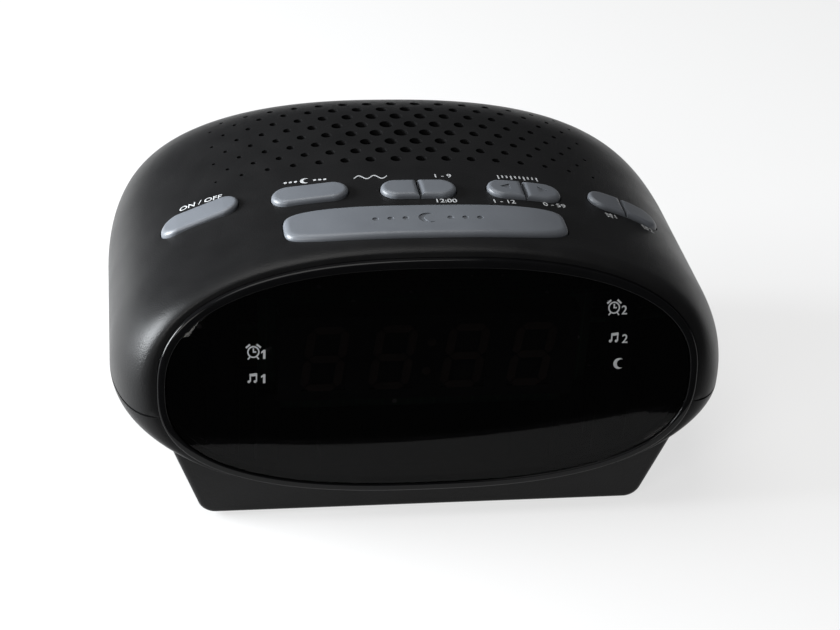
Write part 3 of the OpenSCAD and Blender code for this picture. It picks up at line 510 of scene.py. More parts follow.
def lathe(name, profile, sides=48):
    """A turned piece from a profile of radius and height that starts and ends on the axis."""
    return loft(name, [circle(0, 0, z, 2 * r, sides) for r, z in profile])


foot_round = 0.6
foot_arc = [(foot_d / 2 - foot_round + foot_round * math.sin(t), foot_round - foot_round * math.cos(t))
    for t in np.linspace(0, math.pi / 2, 5)]
foot_profile = [(0.6, 0.25), (foot_d / 2 - 1.6, 0.2), (foot_d / 2 - 1.3, 0.0), *foot_arc,
    (foot_d / 2, foot_h + floor_t / 2)]
foot_rubber = moulded("foot_rubber", (0.018, 0.018, 0.018), (0.03, 0.03, 0.03), 0.7, 0.85, 0.5, 0.04)
feet = repeat("rubber_feet_set", smooth(lathe("foot", foot_profile)), [(x, y, 0) for x, y in foot_spots],
    foot_rubber)
put_in(feet, "case", foot_rubber, "foot_rubber", "rubber_feet")


# Backup supply: two cells in shrink-wrapped jackets between nickel-plated contact plates, in a bay
# under a hinged door in the floor. The door is moulded like the case and hooks over its edge.
def dress(node, material):
    """Puts a finish on a CAD node that is shown as it is."""
    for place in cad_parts[node].material_slots:
        place.material = material


def metal(name, dull, bright, roughness, scale, stretch=(1, 1, 1)):
    """A metal with a fine streaked tone."""
    material, tree, shader = new_finish(name)
    place = add_node(tree, "ShaderNodeTexCoord", {})["Object"]
    turn = add_node(tree, "ShaderNodeMapping", {"Vector": place, "Scale": stretch})["Vector"]
    streak = add_node(tree, "ShaderNodeTexNoise", {"Vector": turn, "Scale": scale, "Detail": 4.0})["Fac"]
    tint = two_tone(tree, streak, (*dull, 1), (*bright, 1))
    fill(tree, shader, {"Base Color": tint, "Metallic": 1.0, "Roughness": roughness})
    return material


dress("battery_contacts", metal("contact_plate", (0.45, 0.44, 0.42), (0.72, 0.71, 0.69), 0.28, 900.0))
dress("battery_door", case_black)


def banded(name, dark, light, roughness, axis, bands, metallic=0.0, bump=0.0):
    """Even bands along one axis, as on a winding, a stack of sheets or a printed jacket."""
    material, tree, shader = new_finish(name)
    place = add_node(tree, "ShaderNodeTexCoord", {})["Object"]
    wave = add_node(tree, "ShaderNodeTexWave",
        {"Vector": place, "Scale": bands}, bands_direction=axis)["Fac"]
    tint = two_tone(tree, wave, (*dark, 1), (*light, 1))
    relief = add_node(tree, "ShaderNodeBump", {"Distance": bump * MM, "Height": wave})["Normal"]
    fill(tree, shader, {"Base Color": tint, "Metallic": metallic, "Roughness": roughness, "Normal": relief})
    return material


dress("backup_cells", banded("cell_jacket", (0.55, 0.36, 0.04), (0.03, 0.03, 0.03), 0.35, "X", 6.0))


# Mains transformer: a stack of thin steel sheets with a taped coil round its middle limb. Two ears
# of its frame are screwed to bosses in the floor.
core_steel = banded("core_steel", (0.08, 0.08, 0.09), (0.3, 0.3, 0.31), 0.45, "Y", 300.0, 1.0, 0.05)
coil_tape = banded("coil_tape", (0.62, 0.42, 0.06), (0.75, 0.55, 0.12), 0.4, "Z", 90.0, 0.0, 0.05)
dress("transformer_core", core_steel)
dress("transformer_coil", coil_tape)


# Main board: a green glass-fibre board with its tuner can, circuits and capacitors, on four posts
# moulded in the floor. The small screws that hold the boards are zinc plated.
track_scale = 140.0
pad_scale = 230.0
pad_share = 0.16
board, board_tree, board_shader = new_finish("board")
board_place = add_node(board_tree, "ShaderNodeTexCoord", {})["Object"]
tracks = add_node(board_tree, "ShaderNodeTexBrick", {"Vector": board_place, "Scale": track_scale,
    "Mortar Size": 0.03, "Color1": (0.012, 0.09, 0.035, 1), "Color2": (0.016, 0.12, 0.045, 1),
    "Mortar": (0.05, 0.24, 0.1, 1)})["Color"]
pads = add_node(board_tree, "ShaderNodeTexVoronoi", {"Vector": board_place, "Scale": pad_scale})["Distance"]
tinned = add_node(board_tree, "ShaderNodeMath", {0: pads, 1: pad_share}, operation="LESS_THAN")[0]
board_tint = two_tone(board_tree, tinned, tracks, (0.55, 0.55, 0.52, 1))
fill(board_tree, board_shader, {"Base Color": board_tint, "Metallic": tinned, "Roughness": 0.35})
component_black = moulded("component_black", (0.012, 0.012, 0.013), (0.03, 0.03, 0.032),
    0.3, 0.45, 0.3, 0.01)
screw_steel = metal("screw_steel", (0.42, 0.42, 0.43), (0.66, 0.66, 0.67), 0.3, 700.0, (1, 1, 0.1))
dress("main_board", board)
dress("main_board_parts", component_black)
dress("board_screws", screw_steel)


# Aerial: a sintered ferrite rod in two slotted posts, with a single layer of enamelled copper wire
# wound on a paper sleeve.
dress("ferrite_rod", moulded("ferrite", (0.02, 0.02, 0.022), (0.045, 0.045, 0.047), 0.55, 0.75, 0.4, 0.05))
dress("rod_coil", banded("copper_wire", (0.35, 0.12, 0.04), (0.75, 0.32, 0.14), 0.3, "X", 700.0, 1.0, 0.1))


# Cord gland: a moulded rubber bush that is pushed through the back wall, with a flange outside and a
# tail inside. Its bore takes a round mains cord.
gland_rubber = moulded("gland_rubber", (0.014, 0.014, 0.014), (0.026, 0.026, 0.026), 0.6, 0.75, 0.4, 0.03)
dress("cord_gland", gland_rubber)


# Display: a black module with four unlit figures and a pair of dots behind the window, soldered to
# an upright board that stands in two slotted posts.
led_low, led_high = (np.array(corner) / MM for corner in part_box("led_display"))
digit_h = 20.0
digit_w = 11.0
segment_t = 2.2
segment_gap = 0.5
segment_rise = 0.15
colon_room = 0.6
dot_d = 2.4
dot_off = 4.5
digits_across = 4.4
digit_pitch = (led_high[0] - led_low[0]) / digits_across
digit_z = (led_low[2] + led_high[2]) / 2
digit_lean = math.tan(math.radians(6))


def segment(x, z, length, upright):
    """A six-sided bar of a figure on the face of the module, leaning a little to the right."""
    half, t = length / 2, segment_t / 2
    outline = np.array([(-half, 0), (-half + t, -t), (half - t, -t),
        (half, 0), (half - t, t), (-half + t, t)])
    if upright:
        outline = outline[:, ::-1]
    outline = outline + [x, z]
    outline[:, 0] += (outline[:, 1] - digit_z) * digit_lean
    face_y = led_low[1]
    return [np.stack([outline[:, 0], np.full(len(outline), y), outline[:, 1]], axis=-1)
        for y in (face_y + segment_rise, face_y - segment_rise)]


def figure(x):
    """The seven bars of one figure."""
    across = digit_w - segment_t - segment_gap
    levels = (digit_h - segment_t) / 2
    tall = levels - segment_gap
    side = (digit_w - segment_t) / 2
    level_bars = [segment(x, digit_z + s * levels, across, False) for s in (-1, 0, 1)]
    return level_bars + [segment(x + s * side, digit_z + v * levels / 2, tall, True)
        for s in (-1, 1) for v in (-1, 1)]


def joined(name, lofts):
    """One mesh from several closed skins of two rings each."""
    points, faces = [], []
    for rings in lofts:
        count, base = len(rings[0]), len(points)
        points += [tuple(p) for ring in rings for p in ring]
        faces += [(base + j, base + (j + 1) % count, base + count + (j + 1) % count, base + count + j)
            for j in range(count)]
        faces += flat_cap(base, count) + flat_cap(base + count, count)
    return solid(name, points, faces)


bars = []
for i in (-1.5, -0.5, 0.5, 1.5):
    bars += figure(i * digit_pitch + math.copysign(colon_room, i))
for s in (-1, 1):
    dot = circle(0, digit_z + s * dot_off, 0, dot_d, 16)[:, [0, 2, 1]]
    bars.append([dot + [s * dot_off * digit_lean, led_low[1] + y, 0]
        for y in (segment_rise, -segment_rise)])
figures = joined("display_figures", bars)
display_red = moulded("display_red", (0.26, 0.17, 0.13), (0.32, 0.22, 0.17), 0.4, 0.5, 0.6, 0.01)
put_in(figures, "case", display_red, "display_red")
dress("led_display", component_black)
dress("display_board", board)


# Upper half of the case: the same black ABS as the lower half, with the loudspeaker grille drilled
# through its top and an opening for each key. Bosses under it take the case screws, the key board
# and the loudspeaker.
lean_rounds = 8


def section_z(x, d):
    share = unit(1 - (np.abs(x) / side_at(d)) ** upper_n)
    return parting_z + (crown_at(d) - parting_z) * share ** (1 / upper_n)


def top_z(x, y):
    """Height of the top of the case over a point of the table."""
    x, y = np.asarray(x, float), np.asarray(y, float)
    d = y - mid_front_y
    for _ in range(lean_rounds):
        lean = unit((lean_l - d) / (lean_l - collar_l))
        d = y - mid_front_y - (front_y(section_z(x, d), bezel_proud) - mid_front_y) * lean
    return section_z(x, d)


hole_pitch = 7.17
hole_row = 5.43
hole_rows = 8
hole_steps = 8
hole_mid_d = 4.3
hole_end_d = 0.9
hole_sides = 20
grille_front = 60.2
grille_y = mid_front_y + grille_front + hole_row * (hole_rows - 1) / 2


def grille_tree():
    """Geometry nodes for staggered rows of round pins that get thinner away from the middle."""
    tree, entry, leave = new_group("grille_pins", "GeometryNodeTree",
        {"Geometry": "Geometry", "Pitch": "Float", "Row distance": "Float", "Middle diameter": "Float",
            "End diameter": "Float", "Depth": "Float", "Rows": "Int", "Steps": "Int", "Centre": "Vector",
            "Finish": "Material"}, {"Pins": "Geometry"})

    def reckon(operation, a, b=0.0):
        return add_node(tree, "ShaderNodeMath", {0: a, 1: b}, operation=operation)[0]

    half_l = reckon("MULTIPLY", entry["Steps"], entry["Pitch"])
    half_rows = reckon("MULTIPLY", reckon("SUBTRACT", entry["Rows"], 1.0), 0.5)
    spots = add_node(tree, "GeometryNodeMeshGrid", {"Size X": reckon("MULTIPLY", half_l, 2.0),
        "Size Y": reckon("MULTIPLY", reckon("MULTIPLY", half_rows, 2.0), entry["Row distance"]),
        "Vertices X": reckon("ADD", reckon("MULTIPLY", entry["Steps"], 2.0), 1.0),
        "Vertices Y": entry["Rows"]})["Mesh"]
    place = add_node(tree, "GeometryNodeInputPosition", {})[0]
    x, y, _ = add_node(tree, "ShaderNodeSeparateXYZ", {0: place})
    row = reckon("ROUND", reckon("ADD", reckon("DIVIDE", y, entry["Row distance"]), half_rows))
    even = reckon("LESS_THAN", reckon("MODULO", row, 2.0), 0.5)
    shift = add_node(tree, "ShaderNodeCombineXYZ",
        {"X": reckon("MULTIPLY", even, reckon("MULTIPLY", entry["Pitch"], 0.5))})[0]
    stagger = add_node(tree, "GeometryNodeSetPosition", {"Geometry": spots, "Offset": shift})["Geometry"]
    end_x = reckon("ADD", half_l, reckon("MULTIPLY", entry["Pitch"], 0.25))
    trim = add_node(tree, "GeometryNodeDeleteGeometry",
        {"Geometry": stagger, "Selection": reckon("GREATER_THAN", x, end_x)})["Geometry"]
    square = reckon("ADD", reckon("POWER", x, 2.0), reckon("POWER", y, 2.0))
    share = reckon("MINIMUM", reckon("DIVIDE", reckon("SQRT", square), half_l), 1.0)
    taper = reckon("MULTIPLY", reckon("SUBTRACT", entry["End diameter"], entry["Middle diameter"]), share)
    width = reckon("ADD", entry["Middle diameter"], taper)
    girth = add_node(tree, "ShaderNodeCombineXYZ", {"X": width, "Y": width, "Z": 1.0})[0]
    pin = add_node(tree, "GeometryNodeMeshCylinder",
        {"Vertices": hole_sides, "Radius": 0.5, "Depth": entry["Depth"]})["Mesh"]
    copies = add_node(tree, "GeometryNodeInstanceOnPoints",
        {"Points": trim, "Instance": pin, "Scale": girth})["Instances"]
    whole = add_node(tree, "GeometryNodeRealizeInstances", {"Geometry": copies})["Geometry"]
    settled = add_node(tree, "GeometryNodeTransform",
        {"Geometry": whole, "Translation": entry["Centre"]})["Geometry"]
    coat = add_node(tree, "GeometryNodeSetMaterial", {"Geometry": settled, "Material": entry["Finish"]})
    fill(tree, leave, {"Pins": coat["Geometry"]})
    return tree


def grille_pins(depth, centre_z):
    """The pins that cut the holes of the grille, as one plain mesh."""
    obj = add_object("grille_pins", bpy.data.meshes.new("grille_pins"))
    return run_nodes(obj, grille_tree(), {"Pitch": hole_pitch * MM, "Row distance": hole_row * MM,
        "Middle diameter": hole_mid_d * MM, "End diameter": hole_end_d * MM, "Depth": depth * MM,
        "Rows": hole_rows, "Steps": hole_steps, "Centre": (0.0, grille_y * MM, centre_z * MM),
        "Finish": case_black})


key_gap = 0.3
well_t = 1.2
flange_w = 1.0
flange_t = 1.2
key_half_l = 10.4
key_r = 4.4
key_pitch = 29.5
key_row_r = 500.0
key_back = 41.0
key_middle_y = mid_front_y + key_back
snooze_back = 23.2
snooze_y = mid_front_y + snooze_back
snooze_half_l = 38.0
snooze_half_w = 8.0
snooze_n = 4.5
key_reach = key_half_l + key_gap + well_t + flange_w
skin_share = 1.4
side_spans = 6


def key_y(x):
    return key_middle_y + x * x / (2 * key_row_r)


def key_stop(step, spare):
    """Height of the lower end of the wells, which stop the flanges of the keys."""
    x = step * key_pitch
    return float(top_z(x + key_reach, key_y(x))) - wall * skin_share - spare


inner_stop_z = key_stop(1, past)
outer_stop_z = key_stop(2, past / 2)


def snooze_ring(inset):
    """Outline of the long bar, bowed like the row of keys."""
    turns = np.linspace(0, 2 * math.pi, 128, endpoint=False)
    x = bulge(np.cos(turns), 2 / snooze_n) * (snooze_half_l - inset)
    y = bulge(np.sin(turns), 2 / snooze_n) * (snooze_half_w - inset)
    return np.stack([x, y + snooze_y + x * x / (2 * key_row_r)], axis=-1)


def key_ring(step, side, inset):
    """Outline of a key with round ends: side is 0 for a whole key, -1 or 1 for half of a pair."""
    r = key_r - inset
    straight = key_half_l - key_r
    right = [(straight + r * math.cos(t), r * math.sin(t))
        for t in np.linspace(-math.pi / 2, math.pi / 2, 25)]
    start = len(right) // 2
    if side == 0:
        points = np.array(right + [(-x, -y) for x, y in right])
    else:
        split = key_gap + max(inset, 0)
        edge = [(split, y) for y in np.linspace(r, -r, 9)]
        spans = range(1, side_spans)
        front = [(split + (straight - split) * k / side_spans, -r) for k in spans]
        back = [(straight + (split - straight) * k / side_spans, r) for k in spans]
        points = np.array(front + right + back + edge) * [side, 1]
        start += len(front)
    x = step * key_pitch
    return np.roll(points, -start, axis=0) + [x, key_y(x)]


def upright(name, ring, low, high):
    return loft(name, [np.insert(ring, 2, z, axis=1) for z in (low, high)])


def key_prisms(grow, drop, high):
    """Upright prisms at the places of the keys, down to below the ends of the wells."""
    prisms = [upright("snooze_well", snooze_ring(-grow), inner_stop_z - drop, high)]
    for step in range(-2, 3):
        low = (outer_stop_z if abs(step) == 2 else inner_stop_z) - drop
        prisms.append(upright("key_well", key_ring(step, 0, -grow), low, high))
    return prisms


speaker_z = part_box("speaker_frame")[1].z / MM
speaker_d = 57.0
speaker_lip = 8.0
speaker_screw_r = 31.5
speaker_spots = [(speaker_screw_r * math.cos(a), grille_y + speaker_screw_r * math.sin(a))
    for a in np.radians([45, 135, 225, 315])]
speaker_bite = 3.0
key_board_low, key_board_high = (np.array(corner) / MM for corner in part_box("key_board"))
key_board_in = 3.0
key_board_x = key_pitch * 1.52
key_board_spots = [(s * key_board_x, y) for s in (-1, 1)
    for y in (snooze_y + key_board_in, key_board_high[1] - key_board_in)]
key_board_bite = 7.0
small_hole_d = 2.4
case_boss_d = 7.0
case_boss_drop = 2.0
case_bite = 10.0
over = crown_z + 4 * past

top = half_case(1, "top_cabinet_shell", case_depths, section_steps)
hollow = half_case(1, "hollow", hollow_depths, hollow_steps, wall, past)
speaker_ring = carve(post((0, grille_y), speaker_d, speaker_z, over),
    post((0, grille_y), speaker_d - speaker_lip, speaker_z - past, over + past))
carve(hollow, speaker_ring, *key_prisms(key_gap + well_t, 0, over),
    *[post(spot, case_boss_d, parting_z - case_boss_drop, over) for spot in pillar_spots],
    *[post(spot, boss_d, key_board_high[2], over) for spot in key_board_spots],
    *[post(spot, boss_d, speaker_z, over) for spot in speaker_spots])
carve(top, hollow, *window_cuts(), *key_prisms(key_gap, past, over + past),
    grille_pins(over - speaker_z, (over + speaker_z) / 2),
    *[post(spot, screw_hole_d, parting_z - past, parting_z + case_bite) for spot in pillar_spots],
    *[post(spot, small_hole_d, key_board_low[2], key_board_high[2] + key_board_bite)
        for spot in key_board_spots],
    *[post(spot, small_hole_d, speaker_z - past, speaker_z + speaker_bite) for spot in speaker_spots])
smooth(top)
put_in(top, "case", case_black, "case_black", "top_cabinet")


# Loudspeaker under the grille: a pressed steel frame with a ferrite magnet and a pressed paper cone,
# held to the upper half by four small screws.
dress("speaker_frame", metal("pressed_steel", (0.3, 0.3, 0.31), (0.5, 0.5, 0.51), 0.4, 300.0))
magnet_ferrite = moulded("magnet_ferrite", (0.03, 0.03, 0.032), (0.06, 0.06, 0.063), 0.5, 0.7, 0.5, 0.05)
dress("speaker_magnet", magnet_ferrite)
dress("speaker_cone", moulded("paper", (0.012, 0.012, 0.012), (0.022, 0.021, 0.02), 0.75, 0.9, 0.8, 0.1))
dress("speaker_screws", screw_steel)


# Key board: a glass-fibre board screwed to bosses under the upper half, with a black tact switch
# under each key.
dress("key_board", board)
dress("tact_switches", component_black)


# Keys: satin grey ABS caps with rounded edges that stand a little above the case. Each has a flange
# that keeps it in its well and a stem over its switch. Arrowheads are sunk in the tuning pair, and a
# moon with dots in the long bar.
key_proud = 1.5
key_edge = 1.2
snooze_edge = 1.5
crown_in = 0.4
stem_d = 3.0
sunk_depth = 0.35
arrowhead = ((1.6, 0), (-1.2, 1.7), (-1.2, -1.7))
crease = 40
key_grey = moulded("key_grey", (0.103, 0.11, 0.124), (0.126, 0.136, 0.152), 0.36, 0.46, 0.45, 0.012)


def front_to_back(start, count):
    """Faces over a ring that starts at its end and is the same in front and behind."""
    last = start + count - 1
    return [tuple(dict.fromkeys((start + j, start + j + 1, last - j, start + (count - j) % count)))
        for j in range(count // 2)]


def key_cap(name, outline, stop_z, edge, stem_spot):
    """A key from its outline: a rounded cap that follows the case, with its flange and stem."""
    flange_z = stop_z - key_gap
    stem_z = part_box(name)[0].z / MM
    flange = outline(-key_gap - flange_w)
    rings = [np.insert(flange, 2, z, axis=1) for z in (flange_z - flange_t, flange_z)]
    rings.append(np.insert(outline(0), 2, flange_z, axis=1))
    steps = [(edge * (1 - math.cos(t)), edge * (1 - math.sin(t))) for t in np.linspace(0, math.pi / 2, 7)]
    steps.append((edge + crown_in, 0.0))
    for inset, drop in steps:
        ring = outline(inset)
        rings.append(np.insert(ring, 2, top_z(ring[:, 0], ring[:, 1]) + key_proud - drop, axis=1))
    cap = loft(name + "_cap", rings, front_to_back)
    return carve(cap, post(stem_spot, stem_d, stem_z, flange_z - flange_t / 2), operation="UNION")


def sunk(outline):
    """The cutter of a sign that is sunk in the top of a key."""
    outline = np.asarray(outline, float)
    z = top_z(outline[:, 0], outline[:, 1]) + key_proud
    return loft("sunk", [np.column_stack([outline, z + h]) for h in (-sunk_depth, past)])


def row_key(name, step, side, arrow=0):
    x = step * key_pitch
    stop_z = outer_stop_z if abs(step) == 2 else inner_stop_z
    spot = (x + side * key_half_l / 2, key_y(x))
    cap = key_cap(name, lambda inset: key_ring(step, side, inset), stop_z, key_edge, spot)
    if arrow:
        carve(cap, sunk([(spot[0] + arrow * u, spot[1] + v) for u, v in arrowhead]))
    smooth(cap, crease)
    return put_in(cap, name, key_grey, "key_grey", name)


def arc(x, y, r, start, end, count=24):
    turns = np.radians(np.linspace(start, end, count))
    return [(x + r * math.cos(t), y + r * math.sin(t)) for t in turns]


def crescent(x, y, r):
    """Outline of a new moon."""
    return arc(x, y, r, 50, 310, 27) + arc(x + 0.42 * r, y, 0.8 * r, 285, 75, 19)


snooze_moon_r = 2.6
snooze_dot_d = 1.8
snooze_dots_x = (6.0, 10.0, 14.0)
snooze = key_cap("snooze_key", snooze_ring, inner_stop_z, snooze_edge, (0, snooze_y))
carve(snooze, sunk(crescent(0, snooze_y, snooze_moon_r)),
    *[sunk(circle(s * x, snooze_y, 0, snooze_dot_d, 24)[:, :2]) for s in (-1, 1) for x in snooze_dots_x])
put_in(smooth(snooze, crease), "snooze_key", key_grey, "key_grey", "snooze_key")
row_key("power_key", -2, 0)
row_key("sleep_key", -1, 0)
row_key("band_key", 0, -1)
row_key("preset_key", 0, 1)
row_key("tune_down_key", 1, -1, arrow=-1)
row_key("tune_up_key", 1, 1, arrow=1)
row_key("alarm_one_key", 2, -1)
row_key("alarm_two_key", 2, 1)


# Bezel: a narrow ring of gloss black ABS that is pressed into the seat of the case and frames the
# window. It stands out from the case, and its two edges are rounded.
lens_recess = 0.5
bezel_round = 0.6
lip_round = 0.35
quarter = np.linspace(0, math.pi / 2, 7)
lip = [(lip_round * (1 - math.cos(t)) - bezel_t, lip_round * (1 - math.sin(t))) for t in quarter]
edge = [(-bezel_round * (1 - math.sin(t)), bezel_round * (1 - math.cos(t))) for t in quarter]
bezel_profile = [(-bezel_t, seat_l - seat_gap), *lip, *edge, (0.0, seat_l - seat_gap)]
bezel = loft("lens_bezel_ring", [window_ring(grow, behind) for grow, behind in bezel_profile], None)
bezel_gloss = moulded("bezel_gloss", (0.002, 0.002, 0.0023), (0.004, 0.004, 0.0043),
    0.05, 0.1, 4.0, 0.002, 0.18)
put_in(smooth(bezel, crease), "case", bezel_gloss, "bezel_gloss", "lens_bezel")


# Window: smoked acrylic with a polished face, curved like the front, which rests on the ledge behind
# the bezel. Small pale signs are printed on it.
lens_edge = 0.25
lens_in = -bezel_t - seat_gap
lens_rings_in = (24, 16, 8)
lens_profile = [(lens_in - lens_edge - k, lens_recess) for k in (*lens_rings_in, 0)]
lens_profile += [(lens_in, lens_recess + lens_edge), (lens_in, seat_l - seat_gap)]
lens = loft("front_lens_plate", [window_ring(grow, behind) for grow, behind in lens_profile], across_cap)
lens_smoke, lens_tree, lens_shader = new_finish("lens_smoke")
lens_place = add_node(lens_tree, "ShaderNodeTexCoord", {})["Object"]
lens_cloud = add_node(lens_tree, "ShaderNodeTexNoise", {"Vector": lens_place, "Scale": 40.0})["Fac"]
lens_tint = two_tone(lens_tree, lens_cloud, (0.10, 0.095, 0.10, 1), (0.12, 0.115, 0.12, 1))
fill(lens_tree, lens_shader, {"Base Color": lens_tint, "Transmission Weight": 1.0,
    "IOR": 1.2, "Roughness": 0.03})
put_in(smooth(lens, crease), "case", lens_smoke, "lens_smoke", "front_lens")


# Printed signs: thin pale ink on the window and on the top of the case, pad printed. They are an
# alarm clock and a note for each alarm, a moon, and plain marks beside the keys.
ink_t = 0.05
ink_proud = 0.3
capital_share = 0.72
bold_share = 0.012
legend_white = moulded("legend_white", (0.4, 0.41, 0.42), (0.5, 0.51, 0.52), 0.45, 0.6, 0.3, 0.005)


def bar(x, y, length, width, turn=0.0):
    """A straight stroke about its middle."""
    c, s = math.cos(math.radians(turn)), math.sin(math.radians(turn))
    return [(x + u * length / 2 * c - v * width / 2 * s, y + u * length / 2 * s + v * width / 2 * c)
        for u, v in ((-1, -1), (1, -1), (1, 1), (-1, 1))]


def ring_sign(x, y, r, width):
    return [arc(x, y, r, 0, 345, 24), arc(x, y, r - width, 0, 345, 24)]


def ink(name, groups, words=()):
    """Flat mesh of strokes. Each group of closed outlines is filled, and an outline inside another
    is a hole. Words are set in the plain built-in typeface: text, place and height."""
    points, faces = [], []
    for group in groups:
        curve = bpy.data.curves.new(name, "CURVE")
        curve.dimensions = "2D"
        curve.fill_mode = "BOTH"
        for outline in group:
            spline = curve.splines.new("POLY")
            spline.points.add(len(outline) - 1)
            for point, (x, y) in zip(spline.points, outline):
                point.co = (x, y, 0, 1)
            spline.use_cyclic_u = True
        collect(curve, (0, 0), points, faces)
    for text, place, height in words:
        curve = bpy.data.curves.new(name, "FONT")
        curve.body = text
        curve.size = height / capital_share
        curve.offset = bold_share * height
        curve.align_x = "CENTER"
        curve.align_y = "CENTER"
        collect(curve, place, points, faces)
    return np.array(points), faces


def collect(curve, place, points, faces):
    """Adds the filled shape of a flat curve, with a thickness, to a list of points and faces."""
    curve.extrude = 0.5
    obj = add_object("ink", curve)
    mesh = bpy.data.meshes.new_from_object(obj.evaluated_get(bpy.context.evaluated_depsgraph_get()))
    base = len(points)
    points += [(v.co.x + place[0], v.co.y + place[1], v.co.z) for v in mesh.vertices]
    faces += [tuple(base + i for i in polygon.vertices) for polygon in mesh.polygons]
    bpy.data.objects.remove(obj)


def on_lens(name, x, z, groups, words=()):
    """Ink on the face of the window, about a point of it."""
    points, faces = ink(name, groups, words)
    height = z + points[:, 1]
    face_y = front_y(height, lens_recess) - (points[:, 2] + ink_proud) * ink_t
    sign = solid(name, np.column_stack([x + points[:, 0], face_y, height]), faces)
    return put_in(sign, "case", legend_white, "key_grey")


def on_top(name, x, y, turn, groups, words=()):
    """Ink on the top of the case, about a point of it and turned about the upright."""
    points, faces = ink(name, groups, words)
    c, s = math.cos(math.radians(turn)), math.sin(math.radians(turn))
    px = x + points[:, 0] * c - points[:, 1] * s
    py = y + points[:, 0] * s + points[:, 1] * c
    pz = top_z(px, py) + (points[:, 2] + ink_proud) * ink_t
    sign = solid(name, np.column_stack([px, py, pz]), faces)
    return put_in(sign, "case", legend_white, "key_grey")


def clock_sign(r, stroke):
    """A ringing clock: face, hands, two bells and two feet."""
    half = stroke / 2
    tall, short = 0.62 * r, 0.45 * r
    hands = [(-half, tall), (-half, -half), (short, -half), (short, half), (half, half), (half, tall)]
    groups = [ring_sign(0, 0, r, stroke), [hands]]
    for s in (-1, 1):
        groups.append([bar(s * 0.86 * r, 0.98 * r, 0.85 * r, 1.3 * stroke, -s * 40)])
        groups.append([bar(s * 0.72 * r, -1.02 * r, 0.5 * r, stroke, -s * 52)])
    return groups


def note_sign(h, stroke):
    """Two beamed notes."""
    w = 0.36 * h
    groups = [[arc(s * w - 0.16 * h, -0.42 * h, 0.17 * h, 0, 345, 20)] for s in (-1, 1)]
    groups += [[bar(s * w, 0.03 * h, 0.9 * h, stroke, 90)] for s in (-1, 1)]
    groups.append([bar(0, 0.42 * h, 2 * w + stroke, 2 * stroke, 6)])
    return groups


def one_sign(x, y, h):
    """The figure one: an upright stroke with a flag."""
    s = 0.13 * h
    return [(x + s, y + h / 2), (x + s, y - h / 2), (x - s, y - h / 2), (x - s, y + 0.22 * h),
        (x - 0.34 * h, y + 0.1 * h), (x - 0.34 * h, y + 0.28 * h), (x - 0.6 * s, y + h / 2)]


sign_r = 1.6
sign_stroke = 0.36
note_h = 2.2
figure_h = 2.4
on_lens("alarm_sign_one", -47.2, 51.5, [*clock_sign(sign_r, sign_stroke), [one_sign(2.8, -0.7, figure_h)]])
on_lens("note_sign_one", -47.2, 44.4, [*note_sign(note_h, sign_stroke), [one_sign(2.8, -0.2, figure_h)]])
on_lens("alarm_sign_two", 47.8, 60.9, clock_sign(sign_r, sign_stroke), [("2", (2.8, -0.8), figure_h)])
on_lens("note_sign_two", 48.4, 52.9, note_sign(note_h, sign_stroke), [("2", (2.8, -0.5), figure_h)])
on_lens("moon_sign", 50.0, 45.7, [[crescent(0, 0, 1.5)]])

legend_back = 8.4
legend_front = -6.0
legend_h = 2.0


def beside_key(name, x, away, groups, words=()):
    """Ink on the top of the case at a distance behind or in front of the row of keys."""
    turn = math.degrees(math.atan(x / key_row_r))
    on_top(name, x, key_y(x) + away, turn, groups, words)


wave_line = [(u, 0.9 * math.sin(u * 1.5)) for u in np.linspace(-4.6, 4.6, 37)]
wave_sign = [(u, v + 0.25) for u, v in wave_line] + [(u, v - 0.25) for u, v in reversed(wave_line)]
scale_sign = [[bar(u, 0.35 if k % 3 else 0, 1.4 if k % 3 else 2.1, 0.4, 90)]
    for k, u in enumerate(np.linspace(-5.6, 5.6, 10))]
moon_dots = [[arc(s * u, 0, 0.45, 0, 345, 12)] for s in (-1, 1) for u in (2.6, 4.0, 5.4)]
moon_sign = [[crescent(0, 0, 1.4)], *moon_dots]
beside_key("power_legend", -58.4, 7.4, [], [("ON / OFF", (0, 0), legend_h)])
beside_key("sleep_legend", -30.0, legend_back, moon_sign)
beside_key("band_legend", -12.1, legend_back, [[wave_sign]])
beside_key("preset_legend", 7.9, legend_back, [], [("1 - 9", (0, 0), legend_h)])
beside_key("tuning_legend", 29.4, legend_back, scale_sign)
beside_key("time_legend", 6.7, legend_front, [], [("12:00", (0, 0), legend_h)])
beside_key("hour_legend", 22.8, legend_front, [], [("1 - 12", (0, 0), legend_h)])
beside_key("minute_legend", 37.2, legend_front, [], [("0 - 59", (0, 0), legend_h)])
for label, x in (("1", 53.4), ("2", 64.6)):
    small_clock = clock_sign(0.9, 0.26)
    beside_key("alarm_legend_" + label, x, legend_front - 0.4, small_clock, [(label, (1.9, 0), legend_h)])


# Case screws: four zinc-plated pan heads with a cross recess, driven up through the pillars of the
# lower half into the bosses of the upper half.
screw_head_h = 2.0
screw_l = 21.0
screw_profile = [(1.0, -screw_head_h), (2.1, -screw_head_h), (2.7, -1.6), (3.0, -1.0), (3.0, 0.0),
    (1.5, 0.0), (1.5, screw_l - 1.5), (0.5, screw_l)]
screw = lathe("case_screw", screw_profile, 32)
cross_l, cross_w, cross_low_z, cross_high_z = 1.7, 0.35, -3.0, -0.9
carve(screw, block((-cross_l, -cross_w, cross_low_z), (cross_l, cross_w, cross_high_z)),
    block((-cross_w, -cross_l, cross_low_z), (cross_w, cross_l, cross_high_z)))
screw_spots = [(x, y, screw_seat_z) for x, y in pillar_spots]
screws = repeat("cabinet_screw_set", smooth(screw), screw_spots, screw_steel)
put_in(screws, "case", screw_steel, "screw_steel", "cabinet_screws")


